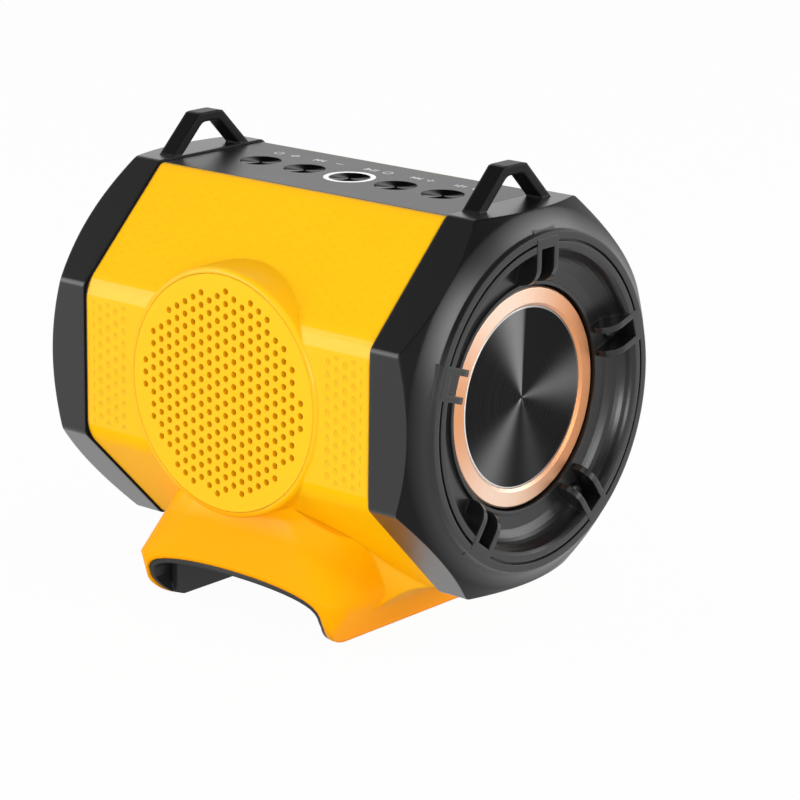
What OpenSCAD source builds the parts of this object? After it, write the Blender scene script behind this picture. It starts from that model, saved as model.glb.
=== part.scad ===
// Jobsite speaker: an octagonal barrel on a foot that slides onto a tool battery.
// Millimetres, +Z up. The origin is on the ground under the middle of the barrel.
// X runs along the barrel, and the front grille faces -Y.

/* [Barrel] */
// Width of the barrel across its flats
barrel_flats = 124; // [116:1:134]
// Length of the shell between the end caps
shell_length = 124; // [118:1:140]
// Wall of the shell and of the end caps
wall = 3; // [2.6:0.1:3.4]
// Radius on the long edges at the front and rear
edge_round = 12; // [6:1:14]
// Radius on the long edges beside the control panel and the foot
flank_round = 4; // [3:0.5:5]

/* [Foot] */
// Height of the barrel's underside over the ground
foot_height = 19; // [17.5:0.5:24]
// Width of the foot at the ground
foot_width = 75; // [73:0.5:80]
// How far the foot's side walls lean out from the ground to the belly
foot_swell = 8.5; // [6:0.5:9]
// Skin of the foot beside the dock
foot_skin = 1.2; // [1:0.1:1.8]
// Radius on the foot's front corners at the belly
corner_round = 8; // [5:0.5:10]
// Reach of the front wall ahead of the barrel's axis
visor_reach = 58; // [55:0.5:60]
// Reach of the foot on the ground ahead of the barrel's axis
toe_reach = 42.5; // [39:0.5:46]
// Height of the arch under the front wall
arch_height = 19.2; // [17.6:0.2:20]

/* [End caps] */
// Length of an end cap from the shell to the rim
cap_length = 21.3; // [20:0.1:24]
// How far the caps stand proud of the shell's flats
cap_proud = 0.7; // [0.3:0.1:1.2]
// Radius on the caps' long edges
cap_round = 3; // [2:0.5:5]
// Drop from the rim's crown to the cone at the middle of a flat
cone_drop = 5.3; // [4.5:0.1:6]
// Outer radius of the raised rim
rim_radius = 55.9; // [55.5:0.1:56.5]
// Width of the rim's outer lip
outer_lip = 2.5; // [2:0.1:3]
// Width of the groove in the rim
groove_width = 0.9; // [0.6:0.1:1.2]
// Depth of the groove in the rim
groove_depth = 1.6; // [1:0.1:2]
// Width of the rim's inner lip
inner_lip = 3.1; // [2.6:0.1:3.6]
// Drop from the rim's crown to the dish around the radiator
dish_drop = 8.3; // [7.5:0.1:9]
// Width of each of the five lugs that bridge the dish
lug_width = 11; // [10.5:0.5:13]
// Thickness of a lug's two ribs
lug_rib = 2.2; // [1.8:0.1:2.4]

/* [Strap loops] */
// Thickness of a loop along the barrel
loop_thick = 6.4; // [5:0.2:7]
// Width of a loop where it leaves the cap
loop_base = 38; // [34:1:44]
// Width of a loop's top bar
loop_crown = 11; // [9:0.5:14]
// Height of a loop over the cap
loop_height = 13.3; // [12:0.1:16]
// Thickness of a loop's bars
loop_bar = 3.2; // [2.8:0.1:4]

/* [Passive radiators] */
// Outer radius of the copper ring
radiator_radius = 36.6; // [36:0.1:37]
// Width of the copper ring
ring_width = 6.4; // [5:0.1:8]
// Height of the bevel on the copper ring
ring_bevel = 0.8; // [0.4:0.1:1.2]
// Travel of a radiator each way
radiator_travel = 2.5; // [1.5:0.1:2.8]

/* [Speaker] */
// Outer radius of the round collar on the front
collar_radius = 41.5; // [41:0.1:43]
// How far the collar stands proud of the front flat
collar_proud = 0.6; // [0.3:0.1:0.7]
// Radius on the collar's front edge
collar_round = 1.5; // [1:0.1:1.7]
// Pitch of the grille's holes
hole_pitch = 4.15; // [3.9:0.05:4.6]
// Size of the grille's holes
hole_size = 2.1; // [1.6:0.1:2.4]
// Radius of the field of holes
hole_field = 35.6; // [32:0.2:36.4]
// Travel of the driver's cone each way
cone_travel = 2; // [1:0.1:2.2]

/* [Control panel] */
// Depth of the control panel from front to rear
panel_depth = 48.6; // [44:0.2:49]
// Thickness of the control panel
panel_thick = 2.5; // [2.2:0.1:3]
// Diameter of the keys
key_size = 13.6; // [12:0.1:14.4]
// Pitch of the keys
key_pitch = 20; // [19.5:0.1:23]
// Travel of the keys
key_travel = 1.2; // [0.8:0.1:1.4]
// Width of the light ring around the middle key
light_ring = 1.7; // [1.4:0.1:2]

/* [Battery dock] */
// Depth of the dock under its roof
dock_depth = 14; // [12.5:0.25:14.5]
// Radius of the tray's rear corners
dock_round = 10; // [7:0.5:12]
// Clear width between the rails' lips
rail_gap = 43; // [38:0.5:46]
// Reach of each rail's lip
rail_lip = 5.8; // [4.5:0.1:6.5]
// Spacing of the two battery contacts
blade_pitch = 27.6; // [20:0.2:32]

/* [Fits] */
// Gap between pieces that are fitted together
fit_gap = 0.2; // [0.15:0.05:0.3]
// Gap between pieces that move past each other
slide_gap = 0.35; // [0.3:0.05:0.45]

/* [Hidden] */
$fn = 64;

// Colours
shell_yellow = [1.0, 0.72, 0.02];
cap_black = [0.09, 0.09, 0.095];
copper = [0.86, 0.58, 0.40];
disc_black = [0.06, 0.06, 0.065];
rubber_black = [0.04, 0.04, 0.04];
light_white = [0.95, 0.95, 0.92];
board_green = [0.05, 0.28, 0.15];
steel = [0.62, 0.63, 0.65];
brass_gold = [0.80, 0.62, 0.28];
cone_grey = [0.16, 0.16, 0.17];

// The barrel's main planes
half_flats = barrel_flats / 2;
half_shell = shell_length / 2;
axis_z = foot_height + half_flats;
cap_half = half_flats + cap_proud;
cap_crown = half_shell + cap_length;
inner_half = half_flats - wall;
corner_steps = 5;
edge_rounds = [edge_round, flank_round, flank_round, edge_round,
    edge_round, flank_round, flank_round, edge_round];
inner_rounds = [for (r = edge_rounds) max(r - wall, 1)];
big = 200;
past = 1;

// Screws: a pan head over a shank that bites the pilot hole of a boss
screw_radius = 1.5;
screw_head = 2.75;
screw_head_height = 1.8;
screw_hole = screw_radius + fit_gap;
boss_radius = 4;

// The caps' lugs are screw wells on one circle
lug_count = 5;
lug_first = 90;
well_radius = 46.5;
well_floor = cap_crown - dish_drop + 1;
boss_length = 12;
well_reach = [-11, 4.5];

// A flat foam gasket lies between each cap and the shell
seal_thick = 0.8;
cap_start = half_shell + seal_thick;

// The radiators sit in the dish behind a thin seat lip
seat_radius = radiator_radius + 0.5 + fit_gap;
seat_lip = 1.2;
dish_x = cap_crown - dish_drop;
ring_face = dish_x + 0.3;
ring_thick = 2.3;
carrier_thick = 1;
disc_radius = radiator_radius - ring_width - fit_gap / 2;
disc_back = half_shell + 3;
dish_wall_x = ring_face - ring_thick - carrier_thick - 0.2;
surround_outer = 41.5;
surround_inner = disc_radius + slide_gap;
surround_plate = 1.5;
roll_x = ring_face - ring_thick - carrier_thick - radiator_travel - slide_gap;

// The grille drops into the collar in front of the driver's flange
collar_face = half_flats + collar_proud;
recess_radius = collar_radius - 2;
grille_face = collar_face;
grille_thick = 2;
flange_thick = 2;
flange_room = 2;
flange_face = grille_face - grille_thick - flange_room;
ledge_face = flange_face - flange_thick;
ledge_thick = 5;
driver_screw_length = flange_thick + ledge_thick - 1;
driver_radius = recess_radius - 0.5;
basket_mouth = recess_radius - 7;
driver_screw_circle = recess_radius - 3.8;
grille_skirt = 0.9;
cone_mouth = basket_mouth - 9.5;
surround_inset = 4.1;
coil_radius = 9;
magnet_radius = 23;
magnet_face = 36;
magnet_back = 18;
basket_plate = 2;
spider_z = magnet_face + basket_plate + 3;
cone_skin = 0.8;
lip_thick = 1.2;
throat_radius = coil_radius + 0.4;
throat_z = spider_z + cone_travel + 1.5;
throat_top = throat_z + 1.4 * cone_skin;
mouth_z = flange_face - 3;
dust_radius = coil_radius + 3;

// The control panel lies in a recess in the shell's top
panel_top = axis_z + half_flats;
panel_floor = panel_top - panel_thick;
panel_half = half_shell - fit_gap;
panel_ledge = 3;
panel_skin = 0.8;
seat_space = 10;
key_x = [-2 * key_pitch, -key_pitch, 0, key_pitch, 2 * key_pitch];
key_hole = key_size / 2 + slide_gap;
ring_outer = key_hole + light_ring;
ring_depth = 1.5;
key_flange = key_hole + 1.2;
key_flange_thick = 1;
key_plunger = 2.4;
key_dish = 0.5;
board_top = panel_floor - 5.2;
board_thick = 1.6;
switch_height = 1.6;
switch_size = 6;
switch_stem = 1.7;
switch_stem_rise = 0.6;
key_board_x = 2 * key_pitch + 11;
key_board_y = 14;
key_post_x = key_board_x - 4;
key_post_y = key_board_y - 4;
key_post_radius = 3;
key_screw_length = 5;
window_x = key_board_x + 1.5;
window_y = key_board_y + 2;
panel_screw_x = half_shell - 5;
panel_screw_y = panel_depth / 2 - 5;

// The foot and the dock
foot_half = foot_width / 2;
belly_half = foot_half + foot_swell;
belly_z = foot_height - 3.5;
foot_top = belly_z + 30;
belly_round = 9;
draw_in = 0.22;
visor_lean = 0.25;
tail_lean = 0.62;
tail_height = 16;
toe_round = visor_reach - toe_reach;
heel_round = 14;
mouth_spring = 8;
mouth_lean = 2.8;
lining = 1.6;
lining_back = 0.5;
dock_roof = dock_depth + 2.5;
dock_half = foot_half - foot_skin - fit_gap;
dock_rear = half_flats - 2.5;
dock_front = -toe_reach - 6;
rail_front = dock_front + 31;
terminal_wall = dock_rear - 13;
blade_length = 14;
blade_root = 6;
blade_thick = 0.8;
blade_height = 6;
blade_z = 4.5;
rail_z = [2.6, 6];
dock_skin = 2.6;
dock_lift = 0.4;
latch_slot = [15.3, 9];
dock_screw_bite = 3;
well_bore = 4;
dock_screw_front = [22.3, dock_front + 16.5];
dock_screw_rear = [dock_half - 9.3, dock_rear - 8];

// The main board stands on posts on the barrel's floor
main_board_z = foot_height + wall + 12;
main_board_x = 36;
main_board_y = [-18, 18];
board_post_inset = 5;
board_post_radius = 3.2;
board_screw_length = 6;
board_post_x = main_board_x - board_post_inset;
board_post_y = [main_board_y[0] + board_post_inset, main_board_y[1] - board_post_inset];

// Places of the foot's front and rear walls at a height
function visor_y(z) = -toe_reach - toe_round * norm([1, visor_lean]) + visor_lean * (z - toe_round);
function tail_y(z) = half_flats - tail_lean * (z - tail_height);

// A direction with length 1
function unit(v) = v / norm(v);

// Points of an octagon with rounded corners; a is half its width across the flats
function octagon_points(a, rounds) = [
    for (k = [0 : 7])
        let (r = rounds[k], t = 22.5 + 45 * k, c = (a - r) / cos(22.5))
            for (i = [0 : corner_steps])
                let (s = t - 22.5 + 45 * i / corner_steps)
                    [c * cos(t) + r * cos(s), c * sin(t) + r * sin(s)]
];

// Points of an arc about c from angle a0 to a1
function arc_points(c, r, a0, a1, steps) = [
    for (i = [0 : steps])
        let (a = a0 + (a1 - a0) * i / steps)
            c + r * [cos(a), sin(a)]
];

// A half outline and its mirror image, as one closed outline
function mirrored(points) = concat(points, [
    for (i = [len(points) - 1 : -1 : 0]) [-points[i][0], points[i][1]]
]);

// An outline that is straight in front and has two round corners at the rear
function tray_points(half, front, rear, r) = mirrored(concat(
    [[half, front]], arc_points([half - r, rear - r], r, 0, 90, 8)));

// Extrude an outline drawn in Y and Z along X
module along_x(x0, x1) {
    translate([x0, 0, 0]) rotate([90, 0, 90]) linear_extrude(x1 - x0) children();
}

// Extrude an outline drawn in X and Z along Y
module along_y(y0, y1) {
    translate([0, y1, 0]) rotate([90, 0, 0]) linear_extrude(y1 - y0) children();
}

// Spin an outline drawn as radius and X about the barrel's axis
module spin_x() {
    translate([0, 0, axis_z]) rotate([90, 0, 90]) rotate_extrude($fn = 96) children();
}

// Spin an outline drawn as radius and reach about the driver's axis; reach runs towards the front
module spin_front() {
    translate([0, 0, axis_z]) rotate([90, 0, 0]) rotate_extrude() children();
}

// A box between two corners
module block(low, high) {
    translate(low) cube(high - low);
}

// An octagonal prism about the barrel's axis
module prism(a, rounds, x0, x1) {
    along_x(x0, x1) translate([0, axis_z]) polygon(octagon_points(a, rounds));
}

// A cylinder along X at a place around the barrel's axis
module around_axis(angle, radius, x) {
    translate([x, 0, axis_z]) rotate([angle, 0, 0]) translate([0, radius, 0]) children();
}

// The left pieces mirror the right ones
module side(left) {
    if (left) mirror([1, 0, 0]) children();
    else children();
}

// A pan head screw whose head rests on the XY plane and whose shank points down
module screw(length) {
    cylinder(r = screw_head, h = screw_head_height, $fn = 24);
    translate([0, 0, -length]) cylinder(r = screw_radius, h = length + 0.01, $fn = 24);
}

// Outlines of the foot

// The foot seen from the front: the side walls lean out to a round belly and draw in above it
module foot_front_outline() {
    low = unit([belly_z, -foot_swell]);
    high = unit([1, draw_in]);
    middle = unit(low + high);
    centre = [belly_half, belly_z] - middle * belly_round / (low * middle);
    polygon(mirrored(concat([[foot_half, 0]],
        arc_points(centre, belly_round, -atan(foot_swell / belly_z), atan(draw_in), 7),
        [[belly_half - draw_in * (foot_top - belly_z), foot_top]])));
}

// The foot seen from the side: a round toe under a leaning front wall, and a low rear wall
module foot_side_outline() {
    polygon(concat(arc_points([-toe_reach, toe_round], toe_round, 270, 180 - atan(visor_lean), 18),
        [[visor_y(foot_top), foot_top], [tail_y(foot_top), foot_top], [half_flats, tail_height],
        [half_flats, 0]]));
}

// The foot's shoulders slope down to each side under the barrel
module shoulder_outline() {
    ridge = foot_top + 7;
    drop = 0.44;
    polygon(mirrored([[big, 0], [big / 2, ridge - drop * big / 2], [0, ridge]]));
}

// What a conical round takes off the edge between two planes. The edge rises through the point p,
// a and b are the planes' outward normals, and the round has radius r at p and grows along the edge.
module edge_round_waste(p, a, b, r, grow) {
    out = unit(unit(a) + unit(b));
    along = unit(cross(b, a));
    rise = along[2] < 0 ? -along : along;
    face = unit(a) * out;
    flat = 1 / (1 + grow * grow * (1 / (face * face) - 1));
    tilt = asin(sqrt((1 - flat) / (1 - flat * face * face)));
    cone = asin(sin(tilt) * face);
    axis = cos(tilt) * rise - sin(tilt) * out;
    outward = cos(tilt) * out + sin(tilt) * rise;
    yaw = atan2(axis[1], axis[0]);
    lean = acos(axis[2]);
    turn = atan2(outward * [-sin(yaw), cos(yaw), 0],
        outward * [cos(lean) * cos(yaw), cos(lean) * sin(yaw), -sin(lean)]);
    length = 90;
    translate(p - rise * r / grow) rotate([0, lean, yaw]) rotate([0, 0, turn])
        difference() {
            rotate([0, atan(tan(cone) * face * cos(tilt) / cos(cone)), 0])
                translate([0, -length / 2, 0]) cube([length / 2, length, length]);
            cylinder(r1 = 0, r2 = 2 * length * tan(cone), h = 2 * length, $fn = 128);
        }
}

// The foot's outer form, without the flare
module foot_form() {
    low_side = [belly_z, 0, -foot_swell];
    high_side = [1, 0, draw_in];
    high_front = [belly_half, visor_y(belly_z), belly_z];
    low_front = [belly_half, -visor_reach, belly_z];
    heel = [belly_half, tail_y(belly_z), belly_z];
    difference() {
        intersection() {
            along_y(-big, big) foot_front_outline();
            along_x(-big, big) foot_side_outline();
            along_y(-big, big) shoulder_outline();
        }
        for (left = [false, true])
            side(left) {
                edge_round_waste(high_front, [0, -1, visor_lean], high_side, corner_round, 0.66);
                edge_round_waste(low_front, [0, -1, 0], low_side, corner_round, 0.25);
                edge_round_waste(heel, [0, 1, tail_lean], high_side, heel_round, 0.1);
                edge_round_waste(heel, [0, 1, 0], low_side, heel_round, 0.1);
            }
    }
}

// The concave flare of the side walls into the barrel's underside. It starts a little inside the wall.
module flare_outline() {
    slope = foot_swell / belly_z;
    sink = 0.15;
    top = foot_height + 0.2;
    root = foot_half - sink + top * slope;
    sweep = (half_shell - root) / tan(45 - atan(slope) / 2);
    start_z = top - sweep + sweep * sin(atan(slope));
    start_x = foot_half - 2 * sink + start_z * slope;
    difference() {
        polygon([[0, past], [foot_half - 2 * sink + past * slope, past], [start_x, start_z],
            [half_shell, start_z], [half_shell, foot_height + 18], [0, foot_height + 18]]);
        translate([half_shell, top - sweep]) circle(r = sweep, $fn = 128);
    }
}

// The flare seen from above: it dies out towards the front and the rear in a round hollow
module flare_plan() {
    edge = half_flats * tan(22.5);
    hollow = 22;
    reach = edge + 12;
    difference() {
        translate([0, -reach]) square([half_shell - fit_gap, 2 * reach]);
        for (s = [-1, 1])
            translate([half_shell, s * (edge + hollow)]) circle(r = hollow, $fn = 128);
    }
}

module foot_solid() {
    foot_form();
    for (left = [false, true])
        side(left)
            intersection() {
                along_y(-big, big) flare_outline();
                linear_extrude(big) flare_plan();
            }
}

// The space behind the foot's front and rear walls opens into the barrel
module foot_hollow() {
    low = foot_height + wall;
    skin = 1.5 * wall;
    half = foot_half - 4 * wall;
    front_top = [visor_y(foot_top - 6) + skin, foot_top - 6];
    rear_top = [tail_y(foot_top - 9) - skin, foot_top - 9];
    middle = [[0, axis_z - inner_half + 2], [0, low]];
    along_x(-half, half) {
        polygon(concat([[visor_y(low) + skin, low], front_top, front_top + [12, 12]], middle));
        polygon(concat([[tail_y(low) - skin, low], rear_top, rear_top + [-12, 12]], middle));
    }
}

// The dock's mouth seen from the front: leaning sides under a flat arch
module mouth_outline(inset, low) {
    half = foot_half - foot_skin - inset;
    spring_half = half + mouth_lean;
    crown = arch_height - inset;
    steps = 12;
    polygon(mirrored(concat([[half, low], [spring_half, mouth_spring]], [
        for (i = [1 : steps - 1])
            let (a = 90 * i / steps)
                [spring_half * cos(a), mouth_spring + (crown - mouth_spring) * sqrt(sin(a))]
    ], [[0, crown]])));
}

// Open below and in front, where the battery slides in
module dock_space() {
    translate([0, 0, -past])
        linear_extrude(dock_roof + past)
            polygon(tray_points(dock_half + fit_gap, dock_front - fit_gap, dock_rear + fit_gap, dock_round));
    along_y(-big, dock_front + 2) mouth_outline(0, -past);
}

// Shell

// The collar as a solid, with a round front edge
module collar_form() {
    rim = collar_radius - collar_round;
    spin_front()
        polygon(concat([[0, 0], [collar_radius, 0]],
            arc_points([rim, collar_face - collar_round], collar_round, 0, 90, 4), [[0, collar_face]]));
}

module grille_ledge() {
    spin_front()
        translate([basket_mouth, ledge_face - ledge_thick])
            square([collar_radius - basket_mouth, collar_face - ledge_face + ledge_thick]);
}

module panel_seat() {
    block([-half_shell, -panel_depth / 2 - wall, panel_floor - panel_ledge],
        [half_shell, panel_depth / 2 + wall, panel_floor + past]);
}

module cap_bosses() {
    for (left = [false, true])
        side(left)
            for (k = [0 : lug_count - 1])
                around_axis(lug_first + k * 360 / lug_count, well_radius, half_shell - boss_length) {
                    rotate([0, 90, 0]) cylinder(r = boss_radius, h = boss_length);
                    translate([0, 0, -wall / 2]) cube([boss_length, half_flats, wall]);
                }
}

module cap_boss_pilots() {
    for (left = [false, true])
        side(left)
            for (k = [0 : lug_count - 1])
                around_axis(lug_first + k * 360 / lug_count, well_radius, half_shell - boss_length + 2)
                    rotate([0, 90, 0]) cylinder(r = screw_radius, h = boss_length);
}

module board_posts() {
    for (x = [-board_post_x, board_post_x], y = board_post_y)
        translate([x, y, foot_height + wall - past])
            cylinder(r = board_post_radius, h = main_board_z - foot_height - wall + past);
}

module barrel_shell() {
    color(shell_yellow)
        difference() {
            union() {
                difference() {
                    union() {
                        prism(half_flats, edge_rounds, -half_shell, half_shell);
                        foot_solid();
                        collar_form();
                    }
                    prism(inner_half, inner_rounds, -big, big);
                    foot_hollow();
                }
                intersection() {
                    union() {
                        grille_ledge();
                        cap_bosses();
                    }
                    union() {
                        prism(half_flats - past, edge_rounds, -half_shell, half_shell);
                        collar_form();
                    }
                }
                panel_seat();
                board_posts();
            }
            dock_space();
            spin_front() translate([0, ledge_face]) square([recess_radius, big]);
            spin_front() translate([0, ledge_face - ledge_thick - past]) square([basket_mouth, big]);
            block([-big, -panel_depth / 2 - fit_gap, panel_floor],
                [big, panel_depth / 2 + fit_gap, panel_top + past]);
            block([-window_x, -window_y, panel_floor - seat_space], [window_x, window_y, panel_top]);
            cap_boss_pilots();
            for (x = [-panel_screw_x, panel_screw_x], y = [-panel_screw_y, panel_screw_y])
                translate([x, y, panel_floor - seat_space]) cylinder(r = screw_hole, h = seat_space + past);
            for (x = [-board_post_x, board_post_x], y = board_post_y)
                translate([x, y, main_board_z - board_screw_length])
                    cylinder(r = screw_radius, h = board_screw_length + past);
            for (p = [dock_screw_front, dock_screw_rear], s = [-1, 1])
                translate([s * p[0], p[1], dock_roof - past])
                    cylinder(r = screw_radius, h = dock_screw_bite + 2 * past);
            for (k = [0 : 3])
                driver_screw_place(k) translate([0, 0, -driver_screw_length])
                    cylinder(r = screw_radius, h = driver_screw_length + past);
        }
}

// Grille

// Columns of holes stand half a pitch apart in height, in a round field
function grille_holes() = [
    for (j = [-11 : 10], i = [-10 : 10])
        let (x = (j + 0.5) * hole_pitch * sqrt(3) / 2, z = (i + (j % 2 == 0 ? 0.25 : -0.25)) * hole_pitch)
            if (norm([x, z]) < hole_field - hole_size / 2) [x, z]
];

module driver_grille() {
    color(shell_yellow) {
        translate([0, -grille_face + grille_thick, axis_z]) rotate([90, 0, 0]) linear_extrude(grille_thick)
            difference() {
                circle(r = recess_radius - fit_gap / 2);
                for (p = grille_holes()) translate(p) circle(d = hole_size, $fn = 16);
            }
        spin_front() translate([recess_radius - grille_skirt, flange_face])
            square([grille_skirt - fit_gap / 2, flange_room + grille_thick / 2]);
    }
}

// Control panel

module control_panel() {
    color(cap_black)
        difference() {
            union() {
                block([-panel_half, -panel_depth / 2, panel_floor],
                    [panel_half, panel_depth / 2, panel_top]);
                for (x = [-key_post_x, key_post_x], y = [-key_post_y, key_post_y])
                    translate([x, y, board_top])
                        cylinder(r = key_post_radius, h = panel_top - board_top - past);
            }
            for (x = key_x)
                translate([x, 0, panel_floor - past]) cylinder(r = key_hole, h = panel_thick + 2 * past);
            translate([0, 0, panel_top - ring_depth]) cylinder(r = ring_outer + fit_gap / 2, h = big);
            for (x = [-key_post_x, key_post_x], y = [-key_post_y, key_post_y])
                translate([x, y, board_top - past]) cylinder(r = screw_radius, h = key_screw_length);
            for (x = [-panel_screw_x, panel_screw_x], y = [-panel_screw_y, panel_screw_y])
                translate([x, y, panel_floor - past])
                    cylinder(r = screw_radius, h = past + panel_thick - panel_skin);
        }
}

// A key: a dished cap, a flange that keeps it under the panel, and a plunger over its switch
module key(n) {
    x = key_x[n];
    rim = key_size / 2;
    bowl = (rim * rim + key_dish * key_dish) / (2 * key_dish);
    plunger_z = board_top + switch_height + key_travel + slide_gap;
    color(disc_black)
        translate([x, 0, 0])
            difference() {
                union() {
                    translate([0, 0, panel_floor - slide_gap - key_flange_thick]) {
                        cylinder(r = key_flange, h = key_flange_thick);
                        cylinder(r = rim, h = panel_thick + slide_gap + key_flange_thick);
                    }
                    translate([0, 0, plunger_z])
                        cylinder(r = key_plunger, h = panel_floor - past / 2 - plunger_z);
                }
                translate([0, 0, panel_top - key_dish + bowl]) sphere(r = bowl, $fn = 128);
            }
}

module play_light_ring() {
    color(light_white)
        translate([0, 0, panel_top - ring_depth])
            difference() {
                cylinder(r = ring_outer, h = ring_depth);
                translate([0, 0, -past]) cylinder(r = key_hole, h = ring_depth + 2 * past);
            }
}

module key_board() {
    color(board_green)
        difference() {
            block([-key_board_x, -key_board_y, board_top - board_thick],
                [key_board_x, key_board_y, board_top]);
            for (x = [-key_post_x, key_post_x], y = [-key_post_y, key_post_y])
                translate([x, y, board_top - board_thick - past])
                    cylinder(r = screw_hole, h = board_thick + 2 * past);
        }
}

module key_switches() {
    color(cap_black)
        for (x = key_x) {
            translate([x - switch_size / 2, -switch_size / 2, board_top])
                cube([switch_size, switch_size, switch_height - switch_stem_rise]);
            translate([x, 0, board_top]) cylinder(r = switch_stem, h = switch_height);
        }
}

module key_board_screws() {
    color(steel)
        for (x = [-key_post_x, key_post_x], y = [-key_post_y, key_post_y])
            translate([x, y, board_top - board_thick]) mirror([0, 0, 1]) screw(key_screw_length);
}

module panel_screws() {
    color(steel)
        for (x = [-panel_screw_x, panel_screw_x], y = [-panel_screw_y, panel_screw_y])
            translate([x, y, panel_floor - panel_ledge])
                mirror([0, 0, 1]) screw(panel_ledge + panel_thick - past);
}

// End caps

// The cap's outer skin: a crowned cone up to a raised rim, then the dish and the radiator's seat
module cap_outline() {
    rim_in = rim_radius - outer_lip - groove_width - inner_lip;
    foot_r = rim_radius + 1.5;
    corner = cap_half / cos(22.5);
    face_x = cap_crown - 2.3;
    mid_x = cap_crown - cone_drop;
    slope = (mid_x - face_x) / (cap_half - foot_r);
    polygon(concat(
        [[seat_radius, dish_wall_x], [seat_radius, dish_x + 1.1], [seat_radius + seat_lip, dish_x + 1.1],
            [seat_radius + seat_lip + 0.3, dish_x]],
        arc_points([rim_in - 9, cap_crown + 0.6], 8.9, 290, 345, 6),
        [[rim_in, cap_crown - 0.9], [rim_in + 0.9, cap_crown],
            [rim_in + inner_lip, cap_crown], [rim_in + inner_lip, cap_crown - groove_depth],
            [rim_radius - outer_lip, cap_crown - groove_depth], [rim_radius - outer_lip, cap_crown],
            [rim_radius, cap_crown], [rim_radius + 0.5, face_x + 0.5], [foot_r, face_x],
            [cap_half, mid_x], [corner + 2, mid_x + (corner + 2 - cap_half) * slope * 1.45],
            [corner + 2, cap_start], [inner_half, cap_start], [inner_half, mid_x - 8],
            [foot_r, face_x - wall - 2], [rim_in + 1, face_x - wall - 1.5], [rim_in - 4, dish_wall_x]]));
}

// A lug seen from its side, as radius and X: it ramps from the cone to the crown and hooks into the dish
module lug_outline() {
    crown = cap_crown + 0.1;
    nose = seat_radius + seat_lip;
    hook = 6.5;
    ramp_out = [rim_radius + 2, cap_crown - 2.9];
    ramp_in = [rim_radius - 1.6, crown];
    polygon(concat([[ramp_out[0], dish_wall_x + 4], ramp_out, ramp_in],
        arc_points([nose + hook, crown - hook], hook, 90, 180, 8),
        [[nose, dish_wall_x + 1]]));
}

// A strap loop seen along the barrel: bars of even thickness with eased corners
module loop_solid() {
    foot_z = axis_z + cap_half;
    half = loop_base / 2;
    crown = loop_crown / 2;
    top_z = foot_z + loop_height;
    lean = (half - crown) / loop_height;
    bar_run = loop_bar * norm([1, lean]);
    gap_z = top_z - loop_bar;
    gap_crown = crown + lean * loop_bar - bar_run;
    ease = 1.2;
    sunk = 2;
    x0 = cap_start + 0.3;
    along_x(x0, x0 + loop_thick)
        difference() {
            polygon(mirrored([[half + lean * sunk, foot_z - sunk], [crown + lean * ease, top_z - ease],
                [crown + lean * ease / 4, top_z - ease / 4], [crown - ease, top_z]]));
            polygon(mirrored([[half - bar_run, foot_z], [gap_crown + lean * ease, gap_z - ease],
                [gap_crown, gap_z - ease / 4], [gap_crown - ease, gap_z]]));
        }
}

module end_cap(left) {
    color(cap_black)
        side(left)
            difference() {
                union() {
                    intersection() {
                        prism(cap_half, [for (k = [0 : 7]) cap_round], cap_start, cap_crown + past);
                        union() {
                            spin_x() cap_outline();
                            for (k = [0 : lug_count - 1])
                                translate([0, 0, axis_z]) rotate([lug_first + k * 360 / lug_count, 0, 0])
                                    translate([0, 0, -lug_width / 2]) rotate([0, 0, 90]) mirror([0, 1, 0])
                                        linear_extrude(lug_width) lug_outline();
                        }
                    }
                    loop_solid();
                    for (k = [0 : lug_count - 1])
                        around_axis(lug_first + k * 360 / lug_count, well_radius, half_shell)
                            rotate([0, 90, 0]) cylinder(r = boss_radius, h = well_floor - half_shell);
                }
                for (k = [0 : lug_count - 1])
                    translate([well_floor, 0, axis_z]) rotate([lug_first + k * 360 / lug_count, 0, 0]) {
                        translate([0, well_radius + well_reach[0], -lug_width / 2 + lug_rib])
                            cube([big, well_reach[1] - well_reach[0], lug_width - 2 * lug_rib]);
                        translate([-big, well_radius, 0]) rotate([0, 90, 0])
                            cylinder(r = screw_hole, h = big + past);
                    }
            }
}

// A flat foam ring in the joint between a cap and the shell
module cap_seal(left) {
    color(rubber_black)
        side(left)
            difference() {
                prism(half_flats - fit_gap, edge_rounds, half_shell, cap_start);
                prism(inner_half, inner_rounds, half_shell - past, cap_start + past);
            }
}

module cap_screws() {
    color(steel)
        for (left = [false, true])
            side(left)
                for (k = [0 : lug_count - 1])
                    around_axis(lug_first + k * 360 / lug_count, well_radius, well_floor)
                        rotate([0, 90, 0]) screw(well_floor - half_shell + boss_length - 3);
}

// Passive radiators

// A heavy disc with a thin carrier under the copper ring and a faintly dished face
module radiator_disc(left) {
    carrier_radius = radiator_radius - 0.4;
    carrier_x = ring_face - ring_thick;
    face_x = ring_face - ring_bevel;
    color(disc_black)
        side(left)
            spin_x()
                polygon([[0, disc_back], [disc_radius, disc_back], [disc_radius, carrier_x - carrier_thick],
                    [carrier_radius, carrier_x - carrier_thick], [carrier_radius, carrier_x],
                    [disc_radius, carrier_x], [disc_radius, face_x], [0, face_x - 0.3]]);
}

module radiator_ring(left) {
    inner = radiator_radius - ring_width;
    color(copper)
        side(left)
            spin_x()
                polygon([[inner, ring_face - ring_thick], [radiator_radius, ring_face - ring_thick],
                    [radiator_radius, ring_face - ring_bevel], [radiator_radius - 0.6, ring_face - 0.2],
                    [inner + 1, ring_face], [inner, ring_face - ring_bevel]]);
}

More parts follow.
